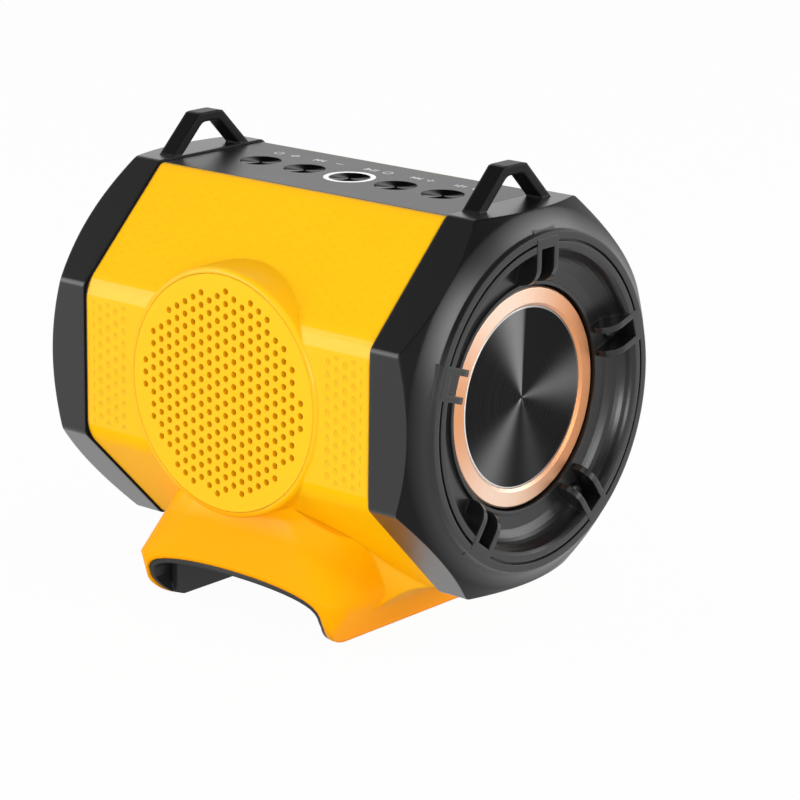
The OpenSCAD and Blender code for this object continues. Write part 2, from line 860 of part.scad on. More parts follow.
// A rubber roll, hung from a flat flange that is stuck behind the dish
module radiator_surround(left) {
    hem = seat_radius + surround_plate;
    roll_mid = (surround_inner + hem) / 2;
    roll_out = (hem - surround_inner) / 2;
    color(rubber_black)
        side(left)
            spin_x() {
                difference() {
                    translate([roll_mid, roll_x]) circle(r = roll_out);
                    translate([roll_mid, roll_x]) circle(r = roll_out - surround_plate);
                    translate([0, roll_x]) square(big);
                }
                translate([seat_radius, roll_x - past])
                    square([surround_plate, dish_wall_x - roll_x + past]);
                translate([seat_radius, dish_wall_x - surround_plate])
                    square([surround_outer - seat_radius, surround_plate]);
            }
}

// Driver

module driver_screw_place(k) {
    translate([0, 0, axis_z]) rotate([0, 45 + 90 * k, 0]) translate([driver_screw_circle, -flange_face, 0])
        rotate([90, 0, 0]) children();
}

module driver_basket() {
    rim = basket_mouth - 0.6;
    lip = rim - 3.5;
    waist = magnet_radius - 2;
    eye = coil_radius + 3;
    plate_z = magnet_face + basket_plate;
    shoulder = ledge_face - 4;
    window = 6;
    color(cap_black)
        difference() {
            spin_front()
                polygon([[lip, flange_face], [driver_radius, flange_face], [driver_radius, ledge_face],
                    [rim, ledge_face], [rim, shoulder], [waist + basket_plate, plate_z],
                    [waist, magnet_face], [eye, magnet_face], [eye, plate_z],
                    [waist - 0.6, plate_z], [rim - basket_plate, shoulder],
                    [rim - basket_plate, flange_face - lip_thick], [lip, flange_face - lip_thick]]);
            for (k = [0 : 3])
                driver_screw_place(k) translate([0, 0, -flange_thick - past])
                    cylinder(r = screw_hole, h = flange_thick + 2 * past);
            for (k = [0 : 5])
                translate([0, 0, axis_z]) rotate([0, 60 * k, 0])
                    block([waist + 0.5, -shoulder + 4, -window], [basket_mouth, -plate_z - 3, window]);
        }
}

// Two steel plates on a ferrite ring, with a pole in the coil
module driver_magnet() {
    yoke = 4;
    pole = coil_radius - 1.2;
    bore = coil_radius + 1.2;
    rear_plate = magnet_radius - 2;
    front_plate = magnet_radius - 3;
    color(steel)
        spin_front()
            polygon([[0, magnet_back], [rear_plate, magnet_back], [rear_plate, magnet_back + yoke],
                [magnet_radius, magnet_back + yoke], [magnet_radius, magnet_face - yoke],
                [front_plate, magnet_face - yoke], [front_plate, magnet_face], [bore, magnet_face],
                [bore, magnet_back + yoke], [pole, magnet_back + yoke], [pole, magnet_face],
                [0, magnet_face]]);
}

module driver_surround() {
    rim = basket_mouth - surround_inset;
    roll = (rim - cone_mouth - slide_gap) / 2;
    mid = cone_mouth + slide_gap + roll;
    seat = flange_face - 2 * lip_thick;
    color(rubber_black)
        spin_front()
            difference() {
                union() {
                    translate([mid, seat]) circle(r = roll);
                    translate([mid, seat]) square([rim + 1.3 - mid, lip_thick]);
                }
                translate([mid, seat]) circle(r = roll - cone_skin);
                translate([0, seat - big]) square([big, big]);
            }
}

// A ring of corrugated cloth that centres the coil
module driver_spider() {
    inner = coil_radius + 1.2;
    outer = magnet_radius - 4;
    folds = 4;
    fold = 0.8;
    step = (outer - inner) / (2 * folds);
    color(brass_gold)
        spin_front()
            polygon(concat(
                [for (i = [0 : 2 * folds]) [inner + i * step, spider_z + (i % 2) * fold]],
                [[outer, magnet_face + basket_plate], [outer - 1, magnet_face + basket_plate]],
                [for (i = [2 * folds - 1 : -1 : 0]) [inner + i * step, spider_z + (i % 2) * fold - fold]]));
}

// Height of the cone's front face at a radius
function cone_face(r) = throat_top
    + (r - throat_radius) * (mouth_z - throat_top) / (cone_mouth - 1.4 - throat_radius);

module driver_cone() {
    color(cone_grey)
        spin_front()
            polygon([[throat_radius, throat_z], [cone_mouth - 1, mouth_z - cone_skin],
                [cone_mouth, mouth_z - cone_skin], [cone_mouth, mouth_z], [cone_mouth - 1.4, mouth_z],
                [throat_radius, throat_top]]);
}

// A shallow dome that seats on the cone along its rim
module driver_dust_cap() {
    rise = 4;
    base_z = cone_face(dust_radius);
    bowl = (dust_radius * dust_radius + rise * rise) / (2 * rise);
    color(disc_black)
        spin_front()
            translate([0, base_z])
                difference() {
                    intersection() {
                        translate([0, rise - bowl]) circle(r = bowl, $fn = 96);
                        square([dust_radius, rise + past]);
                    }
                    translate([0, rise - bowl]) circle(r = bowl - cone_skin, $fn = 96);
                }
}

module driver_voice_coil() {
    start = magnet_back + 10;
    former = throat_radius - coil_radius;
    color(brass_gold)
        spin_front()
            translate([coil_radius - former, start]) square([2 * former, throat_top - start]);
}

module driver_screws() {
    color(steel)
        for (k = [0 : 3]) driver_screw_place(k) screw(driver_screw_length);
}

// Battery dock

// A tray with a roof, raked side walls, two lipped rails and the terminal block at its rear
module battery_dock() {
    rail_outer = rail_gap / 2 + rail_lip;
    side_wall = dock_half - past;
    block_top = dock_roof - past;
    color(cap_black)
        difference() {
            union() {
                translate([0, 0, dock_depth])
                    linear_extrude(dock_roof - dock_depth)
                        polygon(tray_points(dock_half, dock_front, dock_rear, dock_round));
                intersection() {
                    difference() {
                        translate([0, 0, dock_lift])
                            linear_extrude(dock_roof - past)
                                polygon(tray_points(dock_half, dock_front, dock_rear, dock_round));
                        translate([0, 0, -past])
                            linear_extrude(dock_depth + past)
                                polygon(tray_points(dock_half - dock_skin, -2 * big, dock_rear - dock_skin,
                                    dock_round - dock_skin));
                    }
                    translate([0, 2 * lining_back, 0]) foot_form();
                }
                intersection() {
                    translate([0, lining_back, 0]) foot_form();
                    along_y(-big, dock_front + 2 - fit_gap)
                        difference() {
                            mouth_outline(fit_gap, dock_lift);
                            mouth_outline(fit_gap + lining, -past);
                        }
                }
                for (left = [false, true])
                    side(left) {
                        block([rail_outer, rail_front, rail_z[0]],
                            [side_wall, terminal_wall + past, block_top]);
                        block([rail_gap / 2, rail_front + 3, rail_z[0]],
                            [rail_outer + past, terminal_wall + past, rail_z[1]]);
                    }
                block([-side_wall, terminal_wall, rail_z[0]],
                    [side_wall, dock_rear - dock_round, block_top]);
                block([-dock_half + dock_round, terminal_wall, rail_z[0]],
                    [dock_half - dock_round, dock_rear - past, block_top]);
            }
            block([-latch_slot[0], rail_front - latch_slot[1], dock_depth - past],
                [latch_slot[0], rail_front, dock_roof - panel_skin]);
            for (p = [dock_screw_front, dock_screw_rear], s = [-1, 1])
                translate([s * p[0], p[1], -past]) cylinder(r = screw_hole, h = big);
            for (s = [-1, 1])
                translate([s * dock_screw_rear[0], dock_screw_rear[1], -past])
                    cylinder(r = well_bore, h = dock_depth + past);
            terminal_blades();
        }
}

module dock_screws() {
    color(steel)
        for (s = [-1, 1], p = [dock_screw_front, dock_screw_rear])
            translate([s * p[0], p[1], dock_depth])
                mirror([0, 0, 1]) screw(dock_roof - dock_depth + dock_screw_bite);
}

module terminal_blades() {
    color(brass_gold)
        for (x = [-blade_pitch / 2, blade_pitch / 2])
            block([x - blade_thick / 2, terminal_wall - blade_length, blade_z],
                [x + blade_thick / 2, terminal_wall + blade_root, blade_z + blade_height]);
}

// Main board

module main_board() {
    color(board_green)
        difference() {
            block([-main_board_x, main_board_y[0], main_board_z],
                [main_board_x, main_board_y[1], main_board_z + board_thick]);
            for (x = [-board_post_x, board_post_x], y = board_post_y)
                translate([x, y, main_board_z - past]) cylinder(r = screw_hole, h = board_thick + 2 * past);
        }
}

// The parts on the board: a finned heat sink, two smoothing capacitors, two chips and a radio module
module board_parts() {
    top = main_board_z + board_thick;
    sink_corner = [-20, -12, top];
    sink_width = 22;
    sink_base = 2;
    fin_count = 5;
    fin_thick = 1.6;
    fin_pitch = 4;
    fin_height = 12;
    sink_length = fin_pitch * (fin_count - 1) + fin_thick;
    can = [10, 16];
    chip = [7, 7, 1.4];
    radio = [9, 12, 1.8];
    color(steel)
        for (i = [0 : fin_count - 1])
            translate(sink_corner + [fin_pitch * i, 0, 0]) cube([fin_thick, sink_width, fin_height]);
    color(cap_black) {
        translate(sink_corner) cube([sink_length, sink_width, sink_base]);
        for (x = [6, 18]) translate([x, 8, top]) cylinder(d = can[0], h = can[1]);
        translate([6, -12, top]) cube(chip);
        translate([16, -12, top]) cube(radio);
    }
}

module board_screws() {
    color(steel)
        for (x = [-board_post_x, board_post_x], y = board_post_y)
            translate([x, y, main_board_z + board_thick]) screw(board_screw_length);
}

barrel_shell();
driver_grille();
control_panel();
end_cap(true);  // end_cap_left
end_cap(false);  // end_cap_right
cap_seal(true);  // cap_seal_left
cap_seal(false);  // cap_seal_right
cap_screws();
radiator_disc(true);  // radiator_disc_left
radiator_disc(false);  // radiator_disc_right
radiator_ring(true);  // radiator_ring_left
radiator_ring(false);  // radiator_ring_right
radiator_surround(true);  // radiator_surround_left
radiator_surround(false);  // radiator_surround_right
key(0);  // key_power
key(1);  // key_previous
key(2);  // key_play
key(3);  // key_next
key(4);  // key_mode
play_light_ring();
key_board();
key_switches();
key_board_screws();
panel_screws();
driver_basket();
driver_magnet();
driver_surround();
driver_spider();
driver_cone();
driver_dust_cap();
driver_voice_coil();
driver_screws();
battery_dock();
dock_screws();
terminal_blades();
main_board();
board_parts();
board_screws();
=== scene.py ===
"""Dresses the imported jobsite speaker: finishes, key signs, screws, studio and camera."""

from __future__ import annotations

import logging
import math
from dataclasses import dataclass, field
from enum import Enum
from typing import Any, ClassVar, Optional, Sequence, Union

import bmesh
import bpy
from mathutils import Matrix, Vector

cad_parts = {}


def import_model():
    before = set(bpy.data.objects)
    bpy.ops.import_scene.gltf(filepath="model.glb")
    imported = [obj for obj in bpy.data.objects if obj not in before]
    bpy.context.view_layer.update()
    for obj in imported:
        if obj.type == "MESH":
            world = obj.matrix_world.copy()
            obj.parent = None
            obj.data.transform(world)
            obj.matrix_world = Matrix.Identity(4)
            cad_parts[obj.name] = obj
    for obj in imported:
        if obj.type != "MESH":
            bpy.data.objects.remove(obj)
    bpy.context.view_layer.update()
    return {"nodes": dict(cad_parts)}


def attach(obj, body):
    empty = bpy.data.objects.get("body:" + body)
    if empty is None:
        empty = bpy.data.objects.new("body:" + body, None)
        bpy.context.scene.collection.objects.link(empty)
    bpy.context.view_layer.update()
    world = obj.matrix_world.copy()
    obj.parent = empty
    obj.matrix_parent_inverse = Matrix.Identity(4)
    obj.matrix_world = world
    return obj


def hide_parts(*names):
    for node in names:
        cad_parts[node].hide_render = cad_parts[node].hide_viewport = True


LOG = logging.getLogger("speaker")

MM = 0.001
AXIS_HEIGHT = 81 * MM
PANEL_TOP = 143 * MM
KEY_PITCH = 20 * MM
DIAGONAL = math.sqrt(0.5)
ROOT = "speaker"

Colour = tuple[float, float, float]
Operand = Union["Value", float]
Paint = Union[Colour, bpy.types.NodeSocket]


class Turn(Enum):
    """The direction that a spun face turns about."""

    BARREL = "x"
    UPRIGHT = "z"


class Skip(Enum):
    """The way that a skip sign points along the barrel."""

    BACK = -1.0
    AHEAD = 1.0


def key_places() -> list[float]:
    """Returns the places of the five keys along the barrel."""
    return [(place - 2) * KEY_PITCH for place in range(5)]


def made_piece(name: str, shape: bmesh.types.BMesh, material: bpy.types.Material) -> bpy.types.Object:
    """Turns a finished shape into an object of the scene.

    Args:
        name: The object's name.
        shape: The shape, which is freed.
        material: Its finish.

    Returns:
        The object.
    """
    data = bpy.data.meshes.new(name)
    shape.to_mesh(data)
    shape.free()
    data.materials.append(material)
    piece = bpy.data.objects.new(name, data)
    bpy.context.scene.collection.objects.link(piece)
    return piece


@dataclass(frozen=True)
class Value:
    """A number socket; arithmetic on it adds Math nodes to its tree."""

    tree: "NodeTree"
    socket: bpy.types.NodeSocket

    def math(self, operation: str, *others: Operand) -> "Value":
        """Returns the result of a Math node on this value and others.

        Args:
            operation: The Math node's operation.
            others: The further operands.

        Returns:
            The node's output.
        """
        made = self.tree.node("ShaderNodeMath", {"operation": operation}, dict(enumerate((self, *others))))
        return Value(self.tree, made.outputs[0])

    def __add__(self, other: Operand) -> "Value":
        """Adds a value or a number."""
        return self.math("ADD", other)

    def __radd__(self, other: Operand) -> "Value":
        """Adds this value to a number."""
        return self.math("ADD", other)

    def __sub__(self, other: Operand) -> "Value":
        """Takes a value or a number away."""
        return self.math("SUBTRACT", other)

    def __rsub__(self, other: Operand) -> "Value":
        """Takes this value away from a number."""
        return (self * -1.0) + other

    def __mul__(self, other: Operand) -> "Value":
        """Multiplies by a value or a number."""
        return self.math("MULTIPLY", other)

    def __rmul__(self, other: Operand) -> "Value":
        """Multiplies a number by this value."""
        return self.math("MULTIPLY", other)

    def __truediv__(self, other: Operand) -> "Value":
        """Divides by a value or a number."""
        return self.math("DIVIDE", other)

    def __lt__(self, other: Operand) -> "Value":
        """Gives 1 where this value is the smaller."""
        return self.math("LESS_THAN", other)

    def __gt__(self, other: Operand) -> "Value":
        """Gives 1 where this value is the larger."""
        return self.math("GREATER_THAN", other)

    def __abs__(self) -> "Value":
        """Drops the sign."""
        return self.math("ABSOLUTE")

    def fract(self) -> "Value":
        """Keeps the part after the decimal point."""
        return self.math("FRACT")

    def floor(self) -> "Value":
        """Rounds down."""
        return self.math("FLOOR")

    def clamp(self) -> "Value":
        """Holds the value between 0 and 1."""
        return self.math("MAXIMUM", 0.0).math("MINIMUM", 1.0)


class NodeTree:
    """Adds nodes to a node tree."""

    def __init__(self, tree: bpy.types.NodeTree) -> None:
        """Empties the tree.

        Args:
            tree: The tree of a material or a world.
        """
        self.tree = tree
        self.tree.nodes.clear()

    def node(
        self,
        kind: str,
        settings: Optional[dict[str, Any]] = None,
        sockets: Optional[dict[Union[str, int], Any]] = None,
    ) -> bpy.types.Node:
        """Adds a node, sets it up and feeds its sockets.

        Args:
            kind: The node's type.
            settings: Properties of the node, set first.
            sockets: Input names or indices with values, sockets or numbers.

        Returns:
            The new node.
        """
        made = self.tree.nodes.new(kind)
        for key, value in (settings or {}).items():
            setattr(made, key, value)
        for key, value in (sockets or {}).items():
            self.feed(made.inputs[key], value)
        return made

    def feed(self, socket: bpy.types.NodeSocket, value: Any) -> None:
        """Links a socket, or sets its constant.

        Args:
            socket: The input.
            value: A Value, an output socket, or a constant.
        """
        if isinstance(value, Value):
            self.tree.links.new(value.socket, socket)
        elif isinstance(value, bpy.types.NodeSocket):
            self.tree.links.new(value, socket)
        else:
            socket.default_value = value

    def split(self, vector: bpy.types.NodeSocket) -> tuple[Value, Value, Value]:
        """Returns the three parts of a vector.

        Args:
            vector: The vector's output socket.

        Returns:
            Its X, Y and Z.
        """
        made = self.node("ShaderNodeSeparateXYZ", sockets={0: vector})
        return tuple(Value(self, made.outputs[i]) for i in range(3))

    def seen(self) -> Value:
        """Gives 1 for what the camera sees, straight, in a reflection or through glass."""
        path = self.node("ShaderNodeLightPath")
        names = ("Is Camera Ray", "Is Glossy Ray", "Is Transmission Ray")
        straight, mirrored, through = (Value(self, path.outputs[name]) for name in names)
        return straight.math("MAXIMUM", mirrored).math("MAXIMUM", through)


class ShaderTree(NodeTree):
    """Builds the node tree of one material."""

    MIX_FACTOR: ClassVar[int] = 0
    MIX_FIRST: ClassVar[int] = 6
    MIX_SECOND: ClassVar[int] = 7
    MIX_RESULT: ClassVar[int] = 2
    EASE_SAMPLES: ClassVar[int] = 6

    def __init__(self, name: str) -> None:
        """Starts a material with a Principled shader.

        Args:
            name: The material's name.
        """
        self.material: bpy.types.Material = bpy.data.materials.new(name)
        self.material.use_nodes = True
        super().__init__(self.material.node_tree)
        self.output = self.node("ShaderNodeOutputMaterial")
        self.shader = self.node("ShaderNodeBsdfPrincipled")
        self.feed(self.output.inputs["Surface"], self.shader.outputs[0])

    def set(self, **sockets: Any) -> None:
        """Feeds the shader's inputs; an underscore in a name stands for a space.

        Args:
            sockets: Input names with values, sockets or constants.
        """
        for key, value in sockets.items():
            self.feed(self.shader.inputs[key.replace("_", " ")], value)

    def coordinates(self) -> bpy.types.NodeSocket:
        """Returns the Object coordinates."""
        return self.node("ShaderNodeTexCoord").outputs["Object"]

    def place(self) -> tuple[Value, Value, Value]:
        """Returns the Object coordinates as three values."""
        return self.split(self.coordinates())

    def facing(self) -> tuple[Value, Value, Value]:
        """Returns the surface normal as three values."""
        return self.split(self.node("ShaderNodeNewGeometry").outputs["True Normal"])

    def noise(self, scale: float, detail: float = 2.0) -> Value:
        """Returns cloudy noise between 0 and 1.

        Args:
            scale: Cells per metre.
            detail: Octaves.

        Returns:
            The noise.
        """
        sockets = {"Vector": self.coordinates(), "Scale": scale, "Detail": detail}
        return Value(self, self.node("ShaderNodeTexNoise", sockets=sockets).outputs[0])

    def blend(self, factor: Operand, first: Paint, second: Paint) -> bpy.types.NodeSocket:
        """Mixes two colours.

        Args:
            factor: 0 gives the first colour, 1 the second.
            first: A linear colour, or the output that gives it.
            second: A linear colour, or the output that gives it.

        Returns:
            The mixed colour.
        """
        paints = [(*paint, 1.0) if isinstance(paint, tuple) else paint for paint in (first, second)]
        sockets = {self.MIX_FACTOR: factor, self.MIX_FIRST: paints[0], self.MIX_SECOND: paints[1]}
        made = self.node("ShaderNodeMix", {"data_type": "RGBA"}, sockets)
        return made.outputs[self.MIX_RESULT]

    def eased(self, radius: float) -> bpy.types.NodeSocket:
        """Returns a normal that rounds the edges of a solid.

        Args:
            radius: The rounding in metres.

        Returns:
            The normal.
        """
        return self.node("ShaderNodeBevel", {"samples": self.EASE_SAMPLES}, {"Radius": radius}).outputs[0]

    def bump(self, height: Value, depth: float, normal: bpy.types.NodeSocket) -> bpy.types.NodeSocket:
        """Presses a height field into a normal.

        Args:
            height: The field, from 0 to 1.
            depth: Its depth in metres.
            normal: The normal to start from.

        Returns:
            The bumped normal.
        """
        made = self.node("ShaderNodeBump", sockets={"Height": height, "Distance": depth, "Normal": normal})
        return made.outputs[0]


@dataclass(frozen=True)
class MouldedPlastic:
    """Satin moulded plastic with a fine spark-eroded grain and eased edges."""

    name: str
    colour: Colour
    deep: Colour
    roughness: float = 0.42
    grain: float = 1800.0
    grain_depth: float = 0.02 * MM
    ease: float = 0.6 * MM
    specular: float = 0.5
    coat: float = 0.0
    coat_roughness: float = 0.2
    CLOUD_SCALE: ClassVar[float] = 22.0
    CLOUD_DETAIL: ClassVar[float] = 3.0
    CLOUD_GAIN: ClassVar[float] = 1.6
    CLOUD_START: ClassVar[float] = 0.3
    SHEEN_RISE: ClassVar[float] = 0.05
    SHEEN_SPREAD: ClassVar[float] = 0.06

    def build(self) -> bpy.types.Material:
        """Returns the finished material."""
        tree = ShaderTree(self.name)
        cloud = tree.noise(self.CLOUD_SCALE, self.CLOUD_DETAIL)
        fine = tree.noise(self.grain)
        dents = self.dents(tree)
        paint = tree.blend((cloud * self.CLOUD_GAIN - self.CLOUD_START).clamp(), self.colour, self.deep)
        tree.set(
            Base_Color=self.tinted(tree, paint, dents),
            Roughness=self.roughness - self.SHEEN_RISE + self.SHEEN_SPREAD * cloud + self.SHEEN_SPREAD * fine,
            Normal=tree.bump(fine - dents, self.grain_depth, tree.eased(self.ease)),
            Specular_IOR_Level=self.specular,
            Coat_Weight=self.lacquer(tree),
            Coat_Roughness=self.coat_roughness,
        )
        return tree.material

    def lacquer(self, tree: ShaderTree) -> Operand:
        """Returns the weight of the gloss coat.

        Args:
            tree: The material's tree.

        Returns:
            The weight.
        """
        return self.coat

    def dents(self, tree: ShaderTree) -> Operand:
        """Returns the depth of the dents, in grains.

        Args:
            tree: The material's tree.

        Returns:
            The depth, 0 on a plain surface.
        """
        return 0.0

    def tinted(self, tree: ShaderTree, paint: bpy.types.NodeSocket, dents: Operand) -> bpy.types.NodeSocket:
        """Returns the colour with its changes of tone.

        Args:
            tree: The material's tree.
            paint: The plain colour.
            dents: The depth of the dents.

        Returns:
            The colour.
        """
        return paint


@dataclass(frozen=True)
class DimpledShell(MouldedPlastic):
    """The yellow shell: glossy, with rows of shallow dents on its front faces and a duller foot; the foot's
    deeper orange and the darker dents are painted shade.
    """

    # Painted shade: the foot's deeper orange stands in for the shade that falls on it below the barrel.
    painted_foot_shade: Colour = (1.0, 0.40, 0.0)
    foot_start: float = 63.5 * MM
    foot_fade: float = 9 * MM
    foot_top: float = 52 * MM
    # Painted shade in the dents: a darker olive blended in where they are deep.
    shade: Colour = (0.66, 0.44, 0.0)
    shade_share: float = 0.02
    dent_pitch: float = 4.15 * MM
    dent_width: float = 0.27
    dent_length: float = 0.32
    dent_depth: float = 24.0
    chamfer_share: float = 0.2
    flat_edge: float = 21 * MM
    flat_start: float = 43 * MM
    shell_edge: float = 59 * MM
    UNDER_SIDE: ClassVar[float] = -0.2
    FRONT: ClassVar[float] = -0.98
    SLOPE_MARGIN: ClassVar[float] = 0.03
    UPWARD: ClassVar[float] = 0.5
    COLUMN_STEP: ClassVar[float] = math.sqrt(3.0) / 2.0

    def on_foot(self, tree: ShaderTree) -> Value:
        """Returns 1 on the foot, which reaches past the eight-sided barrel, and 0 on the barrel.

        Args:
            tree: The material's tree.

        Returns:
            The share.
        """
        _, y, z = tree.place()
        deep, high = abs(y), abs(z - AXIS_HEIGHT)
        reach = deep.math("MAXIMUM", high).math("MAXIMUM", (deep + high) * DIAGONAL)
        low = ((self.foot_top - z) / self.foot_fade).clamp()
        return ((reach - self.foot_start) / self.foot_fade).clamp() * low

    def lacquer(self, tree: ShaderTree) -> Value:
        """Returns the weight of the gloss coat, which the foot and the under side lack.

        Args:
            tree: The material's tree.

        Returns:
            The weight.
        """
        _, _, facing_z = tree.facing()
        return (1.0 - self.on_foot(tree)) * (facing_z > self.UNDER_SIDE) * self.coat

    def lattice(self, along: Value, across: Value) -> Value:
        """Returns a staggered lattice of long dents.

        Args:
            along: Distance along the barrel.
            across: Distance up the face.

        Returns:
            1 in the middle of a dent and 0 between dents.
        """
        column = along / (self.dent_pitch * self.COLUMN_STEP)
        shift = (column.floor() * 0.5).fract()
        row = across / self.dent_pitch + shift
        side = (column.fract() - 0.5) / self.dent_width
        rise = (row.fract() - 0.5) / self.dent_length
        return (1.0 - (side * side + rise * rise)).clamp()

    def dents(self, tree: ShaderTree) -> Value:
        """Returns the depth of the dents, in grains.

        Args:
            tree: The material's tree.

        Returns:
            The depth.
        """
        x, y, z = tree.place()
        _, facing_y, facing_z = tree.facing()
        up = z - AXIS_HEIGHT
        inside = abs(x) < self.shell_edge
        front = (facing_y < self.FRONT) * (abs(up) < self.flat_edge) * (abs(x) > self.flat_start) * inside
        slope = (up + y) * DIAGONAL
        sloping = (abs(facing_y + DIAGONAL) < self.SLOPE_MARGIN) * (facing_z > self.UPWARD)
        chamfer = sloping * (abs(slope) < self.flat_edge) * inside
        dents = self.lattice(x, up) * front + self.lattice(x, slope) * chamfer * self.chamfer_share
        return dents * self.dent_depth

    def tinted(self, tree: ShaderTree, paint: bpy.types.NodeSocket, dents: Value) -> bpy.types.NodeSocket:
        """Returns the colour with painted shade: deeper orange on the foot and darker in the dents.

        Args:
            tree: The material's tree.
            paint: The plain colour.
            dents: The depth of the dents.

        Returns:
            The colour.
        """
        # Painted shade: the foot is blended towards its deeper orange.
        toned = tree.blend(self.on_foot(tree), paint, self.painted_foot_shade)
        # Painted shade: the dents are blended towards the darker olive.
        return tree.blend((dents * self.shade_share).clamp(), toned, self.shade)


@dataclass(frozen=True)
class CapPlastic(MouldedPlastic):
    """Black plastic of the end caps: glossy on the eight sides, the cone and the dish, dull in between."""

    cone_edge: float = 63 * MM
    cone_fade: float = 5 * MM
    loop_foot: float = 144.4 * MM
    SIDE_MARGIN: ClassVar[float] = 0.05

    def lacquer(self, tree: ShaderTree) -> Value:
        """Returns the weight of the gloss coat, which the strap loops lack.

        Args:
            tree: The material's tree.

        Returns:
            The weight.
        """
        _, y, z = tree.place()
        facing_x, _, _ = tree.facing()
        up = z - AXIS_HEIGHT
        radius = (y * y + up * up).math("SQRT")
        cone = ((self.cone_edge - radius) / self.cone_fade).clamp()
        side = abs(facing_x) < self.SIDE_MARGIN
        return cone.math("MAXIMUM", side) * (z < self.loop_foot) * self.coat


@dataclass(frozen=True)
class PaintedLobe:
    """One painted highlight of a spun face, a spoke in its base colour; a cut ends it sharply on its
    clockwise side.
    """

    angle: float
    sharpness: float
    weight: float
    cut: Optional[float] = None


@dataclass(frozen=True)
class SpunMetal:
    """Lathe-turned face: fine rings lean the normal in and out, and painted highlights, spokes in the base
    colour, fan out from its middle.
    """

    name: str
    colour: Colour
    # The paler colour of the painted highlights.
    pale: Colour
    turn: Turn
    centre: tuple[float, float, float]
    painted_lobes: tuple[PaintedLobe, ...]
    tilt: float = 0.3
    rings: float = 5200.0
    roughness: float = 0.28
    metallic: float = 1.0
    specular: float = 0.5
    polished_from: float = 1.0
    middle: float = 0.5 * MM
    POLISHED: ClassVar[Colour] = (0.86, 0.84, 0.82)
    POLISH_SHARE: ClassVar[float] = 0.55
    # Painted highlight: how much the rim's paleness falls from its front side to its rear side.
    PAINTED_HIGHLIGHT_FALL: ClassVar[float] = 0.45
    EASE: ClassVar[float] = 0.3 * MM
    RING_DETAIL: ClassVar[float] = 1.0
    RING_GAIN: ClassVar[float] = 0.5
    RING_BASE: ClassVar[float] = 0.75
    CLOUD_SCALE: ClassVar[float] = 40.0
    SHEEN_SPREAD: ClassVar[float] = 0.06
    CUT_SHARPNESS: ClassVar[float] = 14.0

    def build(self) -> bpy.types.Material:
        """Returns the finished material."""
        tree = ShaderTree(self.name)
        x, y, z = (part - start for part, start in zip(tree.place(), self.centre))
        barrel = self.turn is Turn.BARREL
        across, up = (y, z) if barrel else (x, y)
        radius = (across * across + up * up).math("SQRT")
        reach = radius.math("MAXIMUM", self.middle)
        across, up = across / reach, up / reach
        sockets = {"W": radius, "Scale": self.rings, "Detail": self.RING_DETAIL}
        groove = Value(tree, tree.node("ShaderNodeTexNoise", {"noise_dimensions": "1D"}, sockets).outputs[0])
        lean = (groove - 0.5) * (2.0 * self.tilt)
        parts = (0.0, across * lean, up * lean) if barrel else (across * lean, up * lean, 0.0)
        push = tree.node("ShaderNodeCombineXYZ", sockets=dict(enumerate(parts))).outputs[0]
        smooth = tree.eased(self.EASE)
        leant = tree.node("ShaderNodeVectorMath", {"operation": "ADD"}, {0: smooth, 1: push})
        normal = tree.node("ShaderNodeVectorMath", {"operation": "NORMALIZE"}, {0: leant.outputs[0]})
        # Painted highlight: the spokes, rippled by the rings, blend the base colour towards the paler colour.
        painted_shine = (groove * self.RING_GAIN + self.RING_BASE) * self.spokes(across, up)
        face = tree.blend(painted_shine.clamp(), self.colour, self.pale)
        # The disc's polished rim is really pale, and is painted paler still towards the front as a highlight.
        polish_and_highlight = (radius > self.polished_from) * (self.POLISH_SHARE - self.PAINTED_HIGHLIGHT_FALL * across)
        tree.set(
            Base_Color=tree.blend(polish_and_highlight, face, self.POLISHED),
            Metallic=self.metallic,
            Specular_IOR_Level=self.specular,
            Roughness=self.roughness + self.SHEEN_SPREAD * tree.noise(self.CLOUD_SCALE),
            Normal=normal.outputs[0],
        )
        return tree.material

    def spokes(self, across: Value, up: Value) -> Value:
        """Returns the strength of the painted highlight spokes.

        Args:
            across: The level part of the direction from the middle.
            up: Its upright part.

        Returns:
            The strength, from 0.
        """
        first, *others = (self.spoke(lobe, across, up) for lobe in self.painted_lobes)
        return sum(others, first)

    def spoke(self, lobe: PaintedLobe, across: Value, up: Value) -> Value:
        """Returns the strength of one painted highlight spoke.

        Args:
            lobe: The spoke.
            across: The level part of the direction from the middle.
            up: Its upright part.

        Returns:
            The strength, from 0.
        """
        angle = math.radians(lobe.angle)
        towards = across * math.cos(angle) + up * math.sin(angle)
        spoke = towards.math("MAXIMUM", 0.0).math("POWER", lobe.sharpness) * lobe.weight
        if lobe.cut is not None:
            cut = math.radians(lobe.cut)
            beyond = up * math.cos(cut) - across * math.sin(cut)
            spoke = spoke * (beyond * self.CUT_SHARPNESS + 0.5).clamp()
        return spoke


@dataclass(frozen=True)
class PlatedMetal:
    """Plated or oxidised metal with faint drawing marks."""

    name: str
    colour: Colour
    deep: Colour
    roughness: float = 0.32
    CLOUD_SCALE: ClassVar[float] = 350.0
    CLOUD_DETAIL: ClassVar[float] = 3.0
    MARK_SCALE: ClassVar[float] = 2600.0
    MARK_DETAIL: ClassVar[float] = 1.0
    MARK_DEPTH: ClassVar[float] = 0.01 * MM
    EASE: ClassVar[float] = 0.2 * MM
    SHEEN_RISE: ClassVar[float] = 0.06
    SHEEN_SPREAD: ClassVar[float] = 0.14

    def build(self) -> bpy.types.Material:
        """Returns the finished material."""
        tree = ShaderTree(self.name)
        cloud = tree.noise(self.CLOUD_SCALE, self.CLOUD_DETAIL)
        marks = tree.noise(self.MARK_SCALE, self.MARK_DETAIL)
        tree.set(
            Base_Color=tree.blend(cloud, self.colour, self.deep),
            Metallic=1.0,
            Roughness=self.roughness - self.SHEEN_RISE + self.SHEEN_SPREAD * cloud,
            Normal=tree.bump(marks, self.MARK_DEPTH, tree.eased(self.EASE)),
        )
        return tree.material


